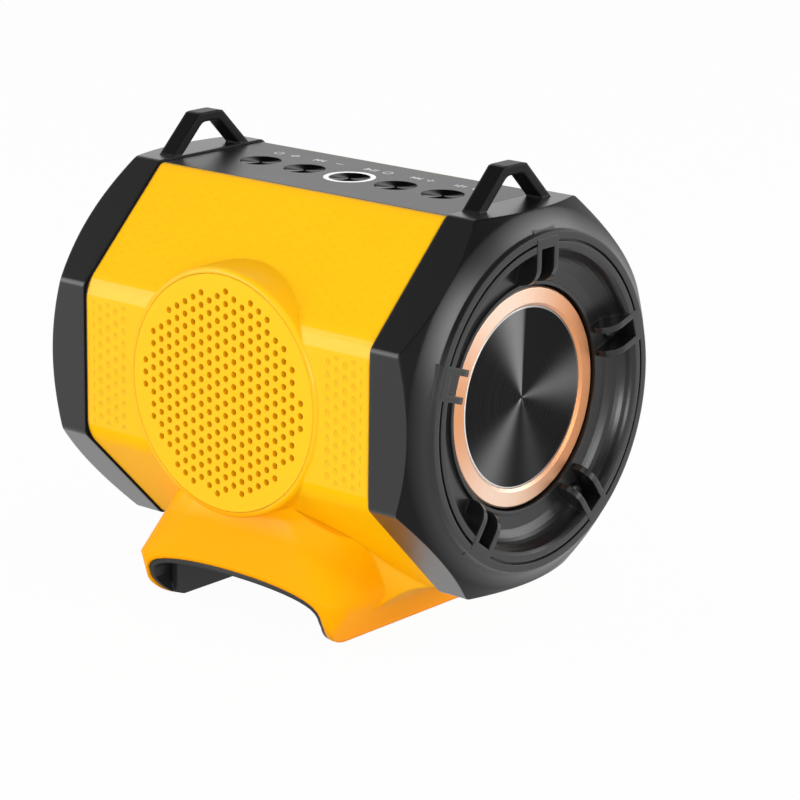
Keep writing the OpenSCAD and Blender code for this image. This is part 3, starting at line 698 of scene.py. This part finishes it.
@dataclass(frozen=True)
class SoftRubber:
    """Matt rubber or foam with an open grain."""

    name: str
    colour: Colour
    deep: Colour
    GRAIN_SCALE: ClassVar[float] = 1400.0
    GRAIN_DETAIL: ClassVar[float] = 3.0
    GRAIN_DEPTH: ClassVar[float] = 0.04 * MM
    EASE: ClassVar[float] = 0.3 * MM
    ROUGHNESS: ClassVar[float] = 0.62
    SHEEN_SPREAD: ClassVar[float] = 0.2

    def build(self) -> bpy.types.Material:
        """Returns the finished material."""
        tree = ShaderTree(self.name)
        grain = tree.noise(self.GRAIN_SCALE, self.GRAIN_DETAIL)
        tree.set(
            Base_Color=tree.blend(grain, self.colour, self.deep),
            Roughness=self.ROUGHNESS + self.SHEEN_SPREAD * grain,
            Normal=tree.bump(grain, self.GRAIN_DEPTH, tree.eased(self.EASE)),
        )
        return tree.material


@dataclass(frozen=True)
class WovenCloth:
    """Treated cloth or pressed fibre with crossing threads."""

    name: str
    colour: Colour
    deep: Colour
    threads: float = 2400.0
    THREAD_DEPTH: ClassVar[float] = 0.05 * MM
    EASE: ClassVar[float] = 0.2 * MM
    ROUGHNESS: ClassVar[float] = 0.75
    SHEEN_SPREAD: ClassVar[float] = 0.1

    def build(self) -> bpy.types.Material:
        """Returns the finished material."""
        tree = ShaderTree(self.name)
        x, _, z = tree.place()
        warp = (x * self.threads).math("SINE")
        weft = (z * self.threads).math("SINE")
        weave = (warp * weft) * 0.5 + 0.5
        tree.set(
            Base_Color=tree.blend(weave, self.colour, self.deep),
            Roughness=self.ROUGHNESS + self.SHEEN_SPREAD * weave,
            Normal=tree.bump(weave, self.THREAD_DEPTH, tree.eased(self.EASE)),
        )
        return tree.material


@dataclass(frozen=True)
class CircuitBoard:
    """Solder mask over copper tracks."""

    name: str = "solder_mask"
    mask: Colour = (0.010, 0.085, 0.035)
    track: Colour = (0.025, 0.17, 0.07)
    track_pitch: float = 2.2 * MM
    track_run: float = 11 * MM
    BEND_SCALE: ClassVar[float] = 90.0
    BEND_DETAIL: ClassVar[float] = 0.0
    BEND_STEPS: ClassVar[float] = 6.0
    HALF_TRACK: ClassVar[float] = 0.17
    RUN_SHARE: ClassVar[float] = 0.82
    TRACK_HEIGHT: ClassVar[float] = 0.04 * MM
    EASE: ClassVar[float] = 0.2 * MM
    ROUGHNESS: ClassVar[float] = 0.35
    SHEEN_RISE: ClassVar[float] = 0.08
    COAT: ClassVar[float] = 0.3

    def build(self) -> bpy.types.Material:
        """Returns the finished material."""
        tree = ShaderTree(self.name)
        x, y, _ = tree.place()
        bend = tree.noise(self.BEND_SCALE, self.BEND_DETAIL)
        lane = (y / self.track_pitch + (bend * self.BEND_STEPS).floor() * 0.5).fract()
        track = (abs(lane - 0.5) < self.HALF_TRACK) * ((x / self.track_run).fract() < self.RUN_SHARE)
        tree.set(
            Base_Color=tree.blend(track, self.mask, self.track),
            Roughness=self.ROUGHNESS - self.SHEEN_RISE * track,
            Normal=tree.bump(track, self.TRACK_HEIGHT, tree.eased(self.EASE)),
            Coat_Weight=self.COAT,
        )
        return tree.material


@dataclass(frozen=True)
class LitPlastic:
    """Milky plastic that spreads the light of the lamp behind it."""

    name: str
    colour: Colour
    deep: Colour
    CLOUD_SCALE: ClassVar[float] = 300.0
    EASE: ClassVar[float] = 0.3 * MM
    ROUGHNESS: ClassVar[float] = 0.3
    SHEEN_SPREAD: ClassVar[float] = 0.1
    GLOW: ClassVar[Colour] = (1.0, 1.0, 0.98)
    GLOW_STRENGTH: ClassVar[float] = 0.25

    def build(self) -> bpy.types.Material:
        """Returns the finished material."""
        tree = ShaderTree(self.name)
        cloud = tree.noise(self.CLOUD_SCALE)
        tree.set(
            Base_Color=tree.blend(cloud, self.colour, self.deep),
            Roughness=self.ROUGHNESS + self.SHEEN_SPREAD * cloud,
            Normal=tree.eased(self.EASE),
            Emission_Color=(*self.GLOW, 1.0),
            Emission_Strength=self.GLOW_STRENGTH,
        )
        return tree.material


class Cabinet:
    """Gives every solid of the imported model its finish."""

    KEYS: Sequence[str] = ("key_power", "key_previous", "key_play", "key_next", "key_mode")
    DISC_RIM: float = 29.55 * MM
    SPUN_DARK: Colour = (0.003, 0.003, 0.0032)

    def __init__(self, nodes: dict[str, bpy.types.Object]) -> None:
        """Keeps the solids and makes the finishes.

        Args:
            nodes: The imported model's objects by node name.
        """
        self.nodes = nodes
        yellow = DimpledShell(
            "shell_yellow", colour=(1.0, 0.525, 0.0), deep=(1.0, 0.50, 0.0), roughness=0.45, grain=1500.0,
            ease=2 * MM, specular=0.05, coat=0.45,
        )
        grille = MouldedPlastic(
            "grille_yellow", colour=(1.0, 0.54, 0.0), deep=(1.0, 0.515, 0.0), roughness=0.45, grain=1500.0,
            specular=0.05, coat=0.45,
        )
        black = CapPlastic(
            "cap_black", colour=(0.004, 0.004, 0.0042), deep=(0.006, 0.006, 0.0062), roughness=0.30,
            ease=1.3 * MM, specular=0.12, coat=0.75, coat_roughness=0.29,
        )
        tray = MouldedPlastic("dock_black", (0.010, 0.010, 0.0105), (0.014, 0.014, 0.0145), specular=0.35)
        panel = MouldedPlastic(
            "panel_black", colour=(0.016, 0.016, 0.0165), deep=(0.020, 0.020, 0.0205), roughness=0.31,
            specular=0.6,
        )
        rubber = SoftRubber("surround_rubber", (0.018, 0.018, 0.018), (0.03, 0.03, 0.03))
        steel = PlatedMetal("zinc_plate", (0.58, 0.58, 0.60), (0.66, 0.66, 0.66))
        nickel = PlatedMetal("contact_nickel", (0.70, 0.67, 0.60), (0.78, 0.76, 0.70), 0.25)
        coil = PlatedMetal("coil_copper", (0.72, 0.38, 0.18), (0.80, 0.46, 0.25))
        board = CircuitBoard()
        paper = WovenCloth("pressed_paper", (0.02, 0.02, 0.022), (0.035, 0.035, 0.036))
        cloth = WovenCloth("treated_cloth", (0.42, 0.26, 0.10), (0.55, 0.36, 0.16))
        ring = LitPlastic("light_ring", (0.90, 0.90, 0.88), (0.84, 0.84, 0.83))
        axis = (0.0, 0.0, AXIS_HEIGHT)
        # Painted highlights: the copper ring's lobes are paler spokes in its base colour.
        copper = SpunMetal(
            "spun_copper", colour=(0.70, 0.31, 0.14), pale=(0.90, 0.68, 0.54), turn=Turn.BARREL, centre=axis,
            painted_lobes=(
                PaintedLobe(angle=108.0, sharpness=3.5, weight=1.0),
                PaintedLobe(angle=247.0, sharpness=3.5, weight=0.95),
            ),
            tilt=0.12, roughness=0.38,
        )
        # Painted highlights: the black disc's lobes are paler spokes in its base colour.
        disc = SpunMetal(
            "spun_black", colour=self.SPUN_DARK, pale=(0.30, 0.30, 0.305), turn=Turn.BARREL, centre=axis,
            painted_lobes=(
                PaintedLobe(angle=100.0, sharpness=18.0, weight=0.75, cut=90.0),
                PaintedLobe(angle=3.0, sharpness=26.0, weight=0.4),
                PaintedLobe(angle=232.0, sharpness=20.0, weight=0.45),
                PaintedLobe(angle=285.0, sharpness=40.0, weight=0.1),
            ),
            polished_from=self.DISC_RIM,
        )
        # Painted highlights on the keys: paler spokes in their base colour, as the keys have no metal or
        # specular reflection.
        key_painted_lobes = (
            PaintedLobe(angle=8.0, sharpness=10.0, weight=0.45),
            PaintedLobe(angle=188.0, sharpness=8.0, weight=0.35),
            PaintedLobe(angle=250.0, sharpness=26.0, weight=0.8),
        )
        self.finishes: dict[str, Any] = {
            "barrel_shell": yellow, "driver_grille": grille, "control_panel": panel,
            "end_cap_left": black, "end_cap_right": black, "battery_dock": tray,
            "cap_seal_left": rubber, "cap_seal_right": rubber,
            "radiator_surround_left": rubber, "radiator_surround_right": rubber, "driver_surround": rubber,
            "radiator_disc_left": disc, "radiator_disc_right": disc,
            "radiator_ring_left": copper, "radiator_ring_right": copper,
            "play_light_ring": ring, "key_board": board, "main_board": board,
            "key_switches": tray, "board_parts": tray, "driver_basket": tray,
            "driver_dust_cap": paper, "driver_cone": paper, "driver_spider": cloth,
            "driver_magnet": steel, "driver_voice_coil": coil, "terminal_blades": nickel,
            "driver_screws": steel,
            "key_board_screws": steel, "panel_screws": steel, "board_screws": steel,
        }
        for key, x in zip(self.KEYS, key_places()):
            self.finishes[key] = SpunMetal(
                "spun_" + key, colour=self.SPUN_DARK, pale=(0.45, 0.45, 0.46), turn=Turn.UPRIGHT,
                centre=(x, 0.0, PANEL_TOP), painted_lobes=key_painted_lobes, rings=9000.0, metallic=0.0, specular=0.0,
                roughness=0.6,
            )

    def dress(self) -> None:
        """Puts each finish on its solids, building it once."""
        made: dict[Any, bpy.types.Material] = {}
        for node, finish in self.finishes.items():
            if finish not in made:
                made[finish] = finish.build()
            mesh = self.nodes[node].data
            mesh.materials.clear()
            mesh.materials.append(made[finish])
            LOG.info("%s has the finish %s", node, finish.name)


@dataclass(frozen=True)
class ScrewPlace:
    """Where a screw's head rests, and the way its head faces."""

    seat: Vector
    facing: Vector
    length: float


@dataclass
class CrossScrews:
    """Pan head screws with a cross recess, in place of one plain set."""

    node: str
    places: Sequence[ScrewPlace]
    head_radius: float = 2.75 * MM
    head_height: float = 1.8 * MM
    shank_radius: float = 1.45 * MM
    slot_width: float = 0.75 * MM
    slot_reach: float = 1.35 * MM
    slot_depth: float = 1.0 * MM
    slot_taper: float = 0.7
    crown_share: float = 0.7
    crown_height: float = 0.97
    shoulder_share: float = 0.92
    shoulder_drop: float = 0.25
    rim_drop: float = 0.27
    wall_drop: float = 0.45
    tip_share: float = 0.6
    tip_length: float = 0.1
    segments: int = 24

    @staticmethod
    def cap_places() -> list[ScrewPlace]:
        """Returns the five wells of each end cap."""
        circle, floor, length, count = 46.5 * MM, 76.0 * MM, 23.0 * MM, 5
        places = []
        for end in (-1.0, 1.0):
            for step in range(count):
                angle = math.radians(90.0 + 360.0 * step / count)
                y, up = circle * math.cos(angle), circle * math.sin(angle)
                seat = Vector((end * floor, y, AXIS_HEIGHT + up))
                places.append(ScrewPlace(seat, Vector((end, 0.0, 0.0)), length))
        return places

    @staticmethod
    def dock_places() -> list[ScrewPlace]:
        """Returns the four screws in the dock's roof."""
        roof, length = 14.0 * MM, 5.5 * MM
        spots = ((22.3 * MM, -32.0 * MM), (26.8 * MM, 51.5 * MM))
        return [
            ScrewPlace(Vector((side * x, y, roof)), Vector((0.0, 0.0, -1.0)), length)
            for side in (-1.0, 1.0) for x, y in spots
        ]

    def step(
        self, shape: bmesh.types.BMesh, loop: list[bmesh.types.BMEdge], scale: float, drop: float
    ) -> list[bmesh.types.BMEdge]:
        """Extrudes a round loop of edges, widens it and lowers it.

        Args:
            shape: The screw.
            loop: The loop's edges.
            scale: The factor on its radius.
            drop: The way down.

        Returns:
            The new loop's edges.
        """
        grown = bmesh.ops.extrude_edge_only(shape, edges=loop)["geom"]
        verts = [item for item in grown if isinstance(item, bmesh.types.BMVert)]
        bmesh.ops.scale(shape, vec=(scale, scale, 1.0), verts=verts)
        bmesh.ops.translate(shape, vec=(0.0, 0.0, -drop), verts=verts)
        return [item for item in grown if isinstance(item, bmesh.types.BMEdge)]

    def recess(self, shape: bmesh.types.BMesh) -> list[bmesh.types.BMEdge]:
        """Presses the cross into the top of the head.

        Args:
            shape: The screw.

        Returns:
            The edges of the cross at the top.
        """
        half, reach = self.slot_width / 2.0, self.slot_reach
        grid = bmesh.ops.create_grid(shape, x_segments=3, y_segments=3, size=1.0)
        places = (-reach, -half, half, reach)
        for vert in grid["verts"]:
            column, row = (round((part + 1.0) * 1.5) for part in vert.co.xy)
            vert.co = (places[column], places[row], self.head_height)
        middles = [(face, face.calc_center_median()) for face in shape.faces]
        corners = [face for face, middle in middles if min(abs(middle.x), abs(middle.y)) > half]
        bmesh.ops.delete(shape, geom=corners, context="FACES")
        outline = [edge for edge in shape.edges if edge.is_boundary]
        floor = bmesh.ops.extrude_face_region(shape, geom=shape.faces[:])["geom"]
        verts = [item for item in floor if isinstance(item, bmesh.types.BMVert)]
        bmesh.ops.scale(shape, vec=(self.slot_taper, self.slot_taper, 1.0), verts=verts)
        bmesh.ops.translate(shape, vec=(0.0, 0.0, -self.slot_depth), verts=verts)
        return outline

    def screw(self, length: float) -> bpy.types.Mesh:
        """Returns one screw whose head rests on the XY plane.

        Args:
            length: The shank's length.

        Returns:
            The mesh.
        """
        shape = bmesh.new()
        outline = self.recess(shape)
        crown = self.head_radius * self.crown_share
        lifted = Matrix.Translation((0.0, 0.0, self.head_height * self.crown_height))
        ring = bmesh.ops.create_circle(shape, segments=self.segments, radius=crown, matrix=lifted)
        loop = list({edge for vert in ring["verts"] for edge in vert.link_edges})
        bmesh.ops.bridge_loops(shape, edges=outline + loop)
        steps = (
            (self.shoulder_share / self.crown_share, self.head_height * self.shoulder_drop),
            (1.0 / self.shoulder_share, self.head_height * self.rim_drop),
            (1.0, self.head_height * self.wall_drop),
            (self.shank_radius / self.head_radius, 0.0),
            (1.0, length * (1.0 - self.tip_length)),
            (self.tip_share, length * self.tip_length),
        )
        for scale, drop in steps:
            loop = self.step(shape, loop, scale, drop)
        bmesh.ops.contextual_create(shape, geom=loop)
        bmesh.ops.recalc_face_normals(shape, faces=shape.faces[:])
        mesh = bpy.data.meshes.new(self.node + "_screw")
        shape.to_mesh(mesh)
        shape.free()
        return mesh

    def build(self, finish: PlatedMetal) -> bpy.types.Object:
        """Returns the set as one piece in place of its plain node.

        Args:
            finish: The screws' finish.

        Returns:
            The set.
        """
        shape = bmesh.new()
        for place in self.places:
            single = self.screw(place.length)
            known = len(shape.verts)
            shape.from_mesh(single)
            shape.verts.ensure_lookup_table()
            turn = place.facing.to_track_quat("Z", "Y").to_matrix().to_4x4()
            seated = Matrix.Translation(place.seat) @ turn
            bmesh.ops.transform(shape, matrix=seated, verts=shape.verts[known:])
            bpy.data.meshes.remove(single)
        piece = made_piece(self.node + "_cross", shape, finish.build())
        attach(piece, ROOT)
        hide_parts(self.node)
        LOG.info("%s: %d screws", piece.name, len(self.places))
        return piece


@dataclass
class KeySigns:
    """Plain printed signs behind the keys."""

    lift: float = 0.08 * MM
    row: float = 13.7 * MM
    spread: float = 3.7 * MM
    size: float = 1.9 * MM
    stroke: float = 0.5 * MM
    bar_length: float = 3.04 * MM
    power_gap: float = 70.0
    repeat_gap: float = 50.0
    ring_steps: int = 24
    mesh: bmesh.types.BMesh = field(default_factory=bmesh.new)

    def raised(self, verts: Sequence[bmesh.types.BMVert]) -> None:
        """Pulls a flat face up into a thin plate.

        Args:
            verts: The face's corners.
        """
        faces = list({face for vert in verts for face in vert.link_faces})
        grown = bmesh.ops.extrude_face_region(self.mesh, geom=faces)
        tops = [item for item in grown["geom"] if isinstance(item, bmesh.types.BMVert)]
        bmesh.ops.translate(self.mesh, verts=tops, vec=(0.0, 0.0, self.lift))

    def triangle(self, x: float, y: float, pointing: float, size: float) -> None:
        """Adds a triangle.

        Args:
            x: Its middle along the barrel.
            y: Its middle from front to rear.
            pointing: The angle of its tip in degrees.
            size: Its radius.
        """
        spin = Matrix.Rotation(math.radians(pointing - 90.0), 4, "Z")
        place = Matrix.Translation((x, y, PANEL_TOP)) @ spin
        made = bmesh.ops.create_circle(self.mesh, cap_ends=True, segments=3, radius=size, matrix=place)
        self.raised(made["verts"])

    def bar(self, x: float, y: float, width: float, height: float) -> None:
        """Adds a bar.

        Args:
            x: Its middle along the barrel.
            y: Its middle from front to rear.
            width: Its size along the barrel.
            height: Its size from front to rear.
        """
        scale = Matrix.Diagonal((width, height, 1.0, 1.0))
        place = Matrix.Translation((x, y, PANEL_TOP)) @ scale
        made = bmesh.ops.create_grid(self.mesh, x_segments=1, y_segments=1, size=0.5, matrix=place)
        self.raised(made["verts"])

    def ring(self, x: float, y: float, radius: float, gap: float = 0.0) -> None:
        """Adds a ring, whole or with a gap at its rear.

        Args:
            x: Its middle along the barrel.
            y: Its middle from front to rear.
            radius: Its outer radius.
            gap: The gap's angle in degrees.
        """
        start = math.radians(90.0 + gap / 2.0)
        inner = radius - self.stroke
        ends = [
            self.mesh.verts.new((x + r * math.cos(start), y + r * math.sin(start), PANEL_TOP + h))
            for r, h in ((inner, 0.0), (radius, 0.0), (radius, self.lift), (inner, self.lift))
        ]
        face = self.mesh.faces.new(ends)
        bmesh.ops.spin(
            self.mesh, geom=[face, *face.edges, *face.verts], cent=(x, y, PANEL_TOP), axis=(0.0, 0.0, 1.0),
            angle=math.radians(360.0 - gap), steps=self.ring_steps, use_merge=gap == 0.0,
        )

    def power_sign(self, x: float) -> None:
        """Draws an open ring with a bar in its gap.

        Args:
            x: The sign's middle along the barrel.
        """
        bar_rise = 0.7
        self.ring(x, self.row, self.size, self.power_gap)
        self.bar(x, self.row + self.size * bar_rise, self.stroke, self.size)

    def light_sign(self, x: float) -> None:
        """Draws a small ring with four rays.

        Args:
            x: The sign's middle along the barrel.
        """
        ring_share, ray_reach, ray_length = 0.55, 0.85 * self.size, 0.4 * self.size
        self.ring(x, self.row, self.size * ring_share)
        for angle in range(0, 360, 90):
            across = ray_reach * math.cos(math.radians(angle))
            rise = ray_reach * math.sin(math.radians(angle))
            level = angle % 180 == 0
            width, height = (ray_length, self.stroke) if level else (self.stroke, ray_length)
            self.bar(x + across, self.row + rise, width, height)

    def skip_sign(self, x: float, way: Skip) -> None:
        """Draws two triangles and a bar.

        Args:
            x: The first triangle's middle along the barrel.
            way: The way that they point.
        """
        tip, bar_place, bar_height = 0.8 * self.size, 1.75, 1.5 * self.size
        step = way.value * self.size
        pointing = 0.0 if way is Skip.AHEAD else 180.0
        self.triangle(x, self.row, pointing, tip)
        self.triangle(x + step, self.row, pointing, tip)
        self.bar(x + step * bar_place, self.row, self.stroke, bar_height)

    def play_sign(self, x: float) -> None:
        """Draws a triangle and two bars.

        Args:
            x: The triangle's middle along the barrel.
        """
        self.triangle(x, self.row, 0.0, self.size)
        for step in (1.35, 2.05):
            self.bar(x + step * self.size, self.row, self.stroke, self.bar_length)

    def sound_sign(self, x: float) -> None:
        """Draws three upright bars of different heights.

        Args:
            x: The middle bar's place along the barrel.
        """
        thick = 1.4 * self.stroke
        for step, height in ((-0.9, 0.9), (0.0, 1.7), (0.9, 1.2)):
            self.bar(x + step * self.size, self.row, thick, self.size * height)

    def draw(self) -> None:
        """Draws two signs behind each key."""
        power, back, play, ahead, mode = key_places()
        ring_shift = 0.8 * self.size
        self.power_sign(power - self.spread)
        self.light_sign(power + self.spread)
        for key, way in ((back, Skip.BACK), (ahead, Skip.AHEAD)):
            self.skip_sign(key - self.spread, way)
            self.bar(key + self.spread, self.row, self.bar_length, self.stroke)
        self.bar(ahead + self.spread, self.row, self.stroke, self.bar_length)
        self.play_sign(play - self.spread)
        self.ring(play + self.spread + ring_shift, self.row, self.size)
        self.sound_sign(mode - self.spread)
        self.ring(mode + self.spread, self.row, self.size, self.repeat_gap)

    def build(self) -> bpy.types.Object:
        """Returns the signs as one piece."""
        self.draw()
        bmesh.ops.recalc_face_normals(self.mesh, faces=self.mesh.faces[:])
        ink = MouldedPlastic(
            "sign_ink", colour=(0.74, 0.74, 0.73), deep=(0.66, 0.66, 0.65), roughness=0.5, ease=0.05 * MM
        )
        piece = made_piece("key_signs", self.mesh, ink.build())
        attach(piece, ROOT)
        LOG.info("key_signs: %d faces", len(piece.data.polygons))
        return piece


@dataclass(frozen=True)
class SoftBox:
    """A square lamp that faces the speaker: its place and side in metres, its power in watts."""

    name: str
    place: tuple[float, float, float]
    side: float
    power: float

    def hang(self) -> None:
        """Adds the lamp to the scene."""
        data = bpy.data.lights.new(self.name, "AREA")
        data.shape = "SQUARE"
        data.size = self.side
        data.energy = self.power
        lamp = bpy.data.objects.new(self.name, data)
        place = Vector(self.place)
        aim = Vector((0.0, 0.0, AXIS_HEIGHT)) - place
        lamp.matrix_world = Matrix.Translation(place) @ aim.to_track_quat("-Z", "Y").to_matrix().to_4x4()
        bpy.context.scene.collection.objects.link(lamp)


@dataclass
class Studio:
    """A pale floor, soft boxes and the camera."""

    azimuth: float = 40.64
    elevation: float = 14.98
    roll: float = 0.56
    pixels_per_mm: float = 2.96
    distance: float = 1077.29 * MM
    centre_px: tuple[float, float] = (347.81, 356.83)
    frame_px: float = 800.0
    sensor: float = 36.0
    floor_half: float = 8.0
    floor_cells: int = 8
    floor_pale: Colour = (0.74, 0.74, 0.74)
    floor_deep: Colour = (0.71, 0.71, 0.71)
    floor_clouds: float = 3.0
    floor_roughness: float = 0.9
    floor_specular: float = 0.1
    floor_white: float = 0.97
    room_light: float = 0.48
    ceiling_start: float = 0.3
    ceiling_slope: float = 2.5
    ceiling_dark: float = 0.85
    boxes: tuple[SoftBox, ...] = (
        SoftBox("front_box", place=(0.80, -1.30, 0.38), side=0.5, power=9.0),
        SoftBox("front_left_box", place=(-1.05, -1.15, 0.58), side=1.0, power=11.5),
        SoftBox("right_box", place=(1.45, 0.1, 0.44), side=0.6, power=7.0),
        SoftBox("back_right_box", place=(0.9, 1.15, 0.62), side=0.85, power=7.0),
        SoftBox("overhead_box", place=(0.5, -0.2, 1.3), side=0.6, power=1.5),
    )

    def camera(self) -> bpy.types.Object:
        """Returns the camera at the photograph's viewing angle."""
        az, el, roll = (math.radians(a) for a in (self.azimuth, self.elevation, self.roll))
        back = Vector((math.sin(az) * math.cos(el), -math.cos(az) * math.cos(el), math.sin(el)))
        right = Vector((math.cos(az), math.sin(az), 0.0))
        up = back.cross(right)
        across = right * math.cos(roll) + up * math.sin(roll)
        rise = up * math.cos(roll) - right * math.sin(roll)
        data = bpy.data.cameras.new("camera")
        data.sensor_width = self.sensor
        data.lens = self.pixels_per_mm * self.distance / MM * self.sensor / self.frame_px
        data.shift_x = (self.frame_px / 2.0 - self.centre_px[0]) / self.frame_px
        data.shift_y = (self.centre_px[1] - self.frame_px / 2.0) / self.frame_px
        camera = bpy.data.objects.new("camera", data)
        eye = Vector((0.0, 0.0, AXIS_HEIGHT)) + back * self.distance
        turn = Matrix((across, rise, back)).transposed().to_4x4()
        camera.matrix_world = Matrix.Translation(eye) @ turn
        bpy.context.scene.collection.objects.link(camera)
        bpy.context.scene.camera = camera
        return camera

    def floor(self) -> bpy.types.Object:
        """Returns the pale floor, which is clear from below."""
        shape = bmesh.new()
        cells = self.floor_cells
        bmesh.ops.create_grid(shape, x_segments=cells, y_segments=cells, size=self.floor_half)
        tree = ShaderTree("floor_white")
        tree.set(
            Base_Color=tree.blend(tree.noise(self.floor_clouds), self.floor_pale, self.floor_deep),
            Roughness=self.floor_roughness,
            Specular_IOR_Level=self.floor_specular,
        )
        glow = tree.node("ShaderNodeEmission", sockets={"Strength": 1.0})
        top = tree.node("ShaderNodeMixShader", sockets={
            0: tree.seen() * self.floor_white, 1: tree.shader.outputs[0], 2: glow.outputs[0],
        })
        below = tree.node("ShaderNodeNewGeometry").outputs["Backfacing"]
        clear = tree.node("ShaderNodeBsdfTransparent")
        both = tree.node("ShaderNodeMixShader", sockets={0: below, 1: top.outputs[0], 2: clear.outputs[0]})
        tree.feed(tree.output.inputs["Surface"], both.outputs[0])
        floor = made_piece("floor", shape, tree.material)
        return floor

    def world(self) -> None:
        """Lights the studio evenly and shows a white backdrop under a dark ceiling."""
        world = bpy.data.worlds.new("studio")
        world.use_nodes = True
        tree = NodeTree(world.node_tree)
        _, _, height = tree.split(tree.node("ShaderNodeTexCoord").outputs["Generated"])
        ceiling = ((height - self.ceiling_start) * self.ceiling_slope).clamp()
        backdrop = 1.0 - ceiling * self.ceiling_dark
        strength = tree.seen() * (backdrop - self.room_light) + self.room_light
        sockets = {"Color": (1.0, 1.0, 1.0, 1.0), "Strength": strength}
        glow = tree.node("ShaderNodeBackground", sockets=sockets)
        tree.node("ShaderNodeOutputWorld", sockets={"Surface": glow.outputs[0]})
        bpy.context.scene.world = world

    def build(self) -> None:
        """Sets up the studio."""
        self.camera()
        self.floor()
        self.world()
        for box in self.boxes:
            box.hang()
        bpy.context.scene.view_settings.view_transform = "Standard"
        LOG.info("studio is set")


def main() -> None:
    """Builds and dresses the speaker."""
    logging.basicConfig(level=logging.INFO, format="%(message)s")
    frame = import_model()
    Studio().build()
    Cabinet(frame["nodes"]).dress()
    KeySigns().build()
    CrossScrews("cap_screws", CrossScrews.cap_places()).build(
        PlatedMetal("cap_screw_oxide", (0.05, 0.05, 0.052), (0.08, 0.08, 0.08), 0.4)
    )
    CrossScrews("dock_screws", CrossScrews.dock_places()).build(
        PlatedMetal("dock_screw_oxide", (0.10, 0.10, 0.104), (0.16, 0.16, 0.16), 0.36)
    )


if __name__ == "__main__":
    main()
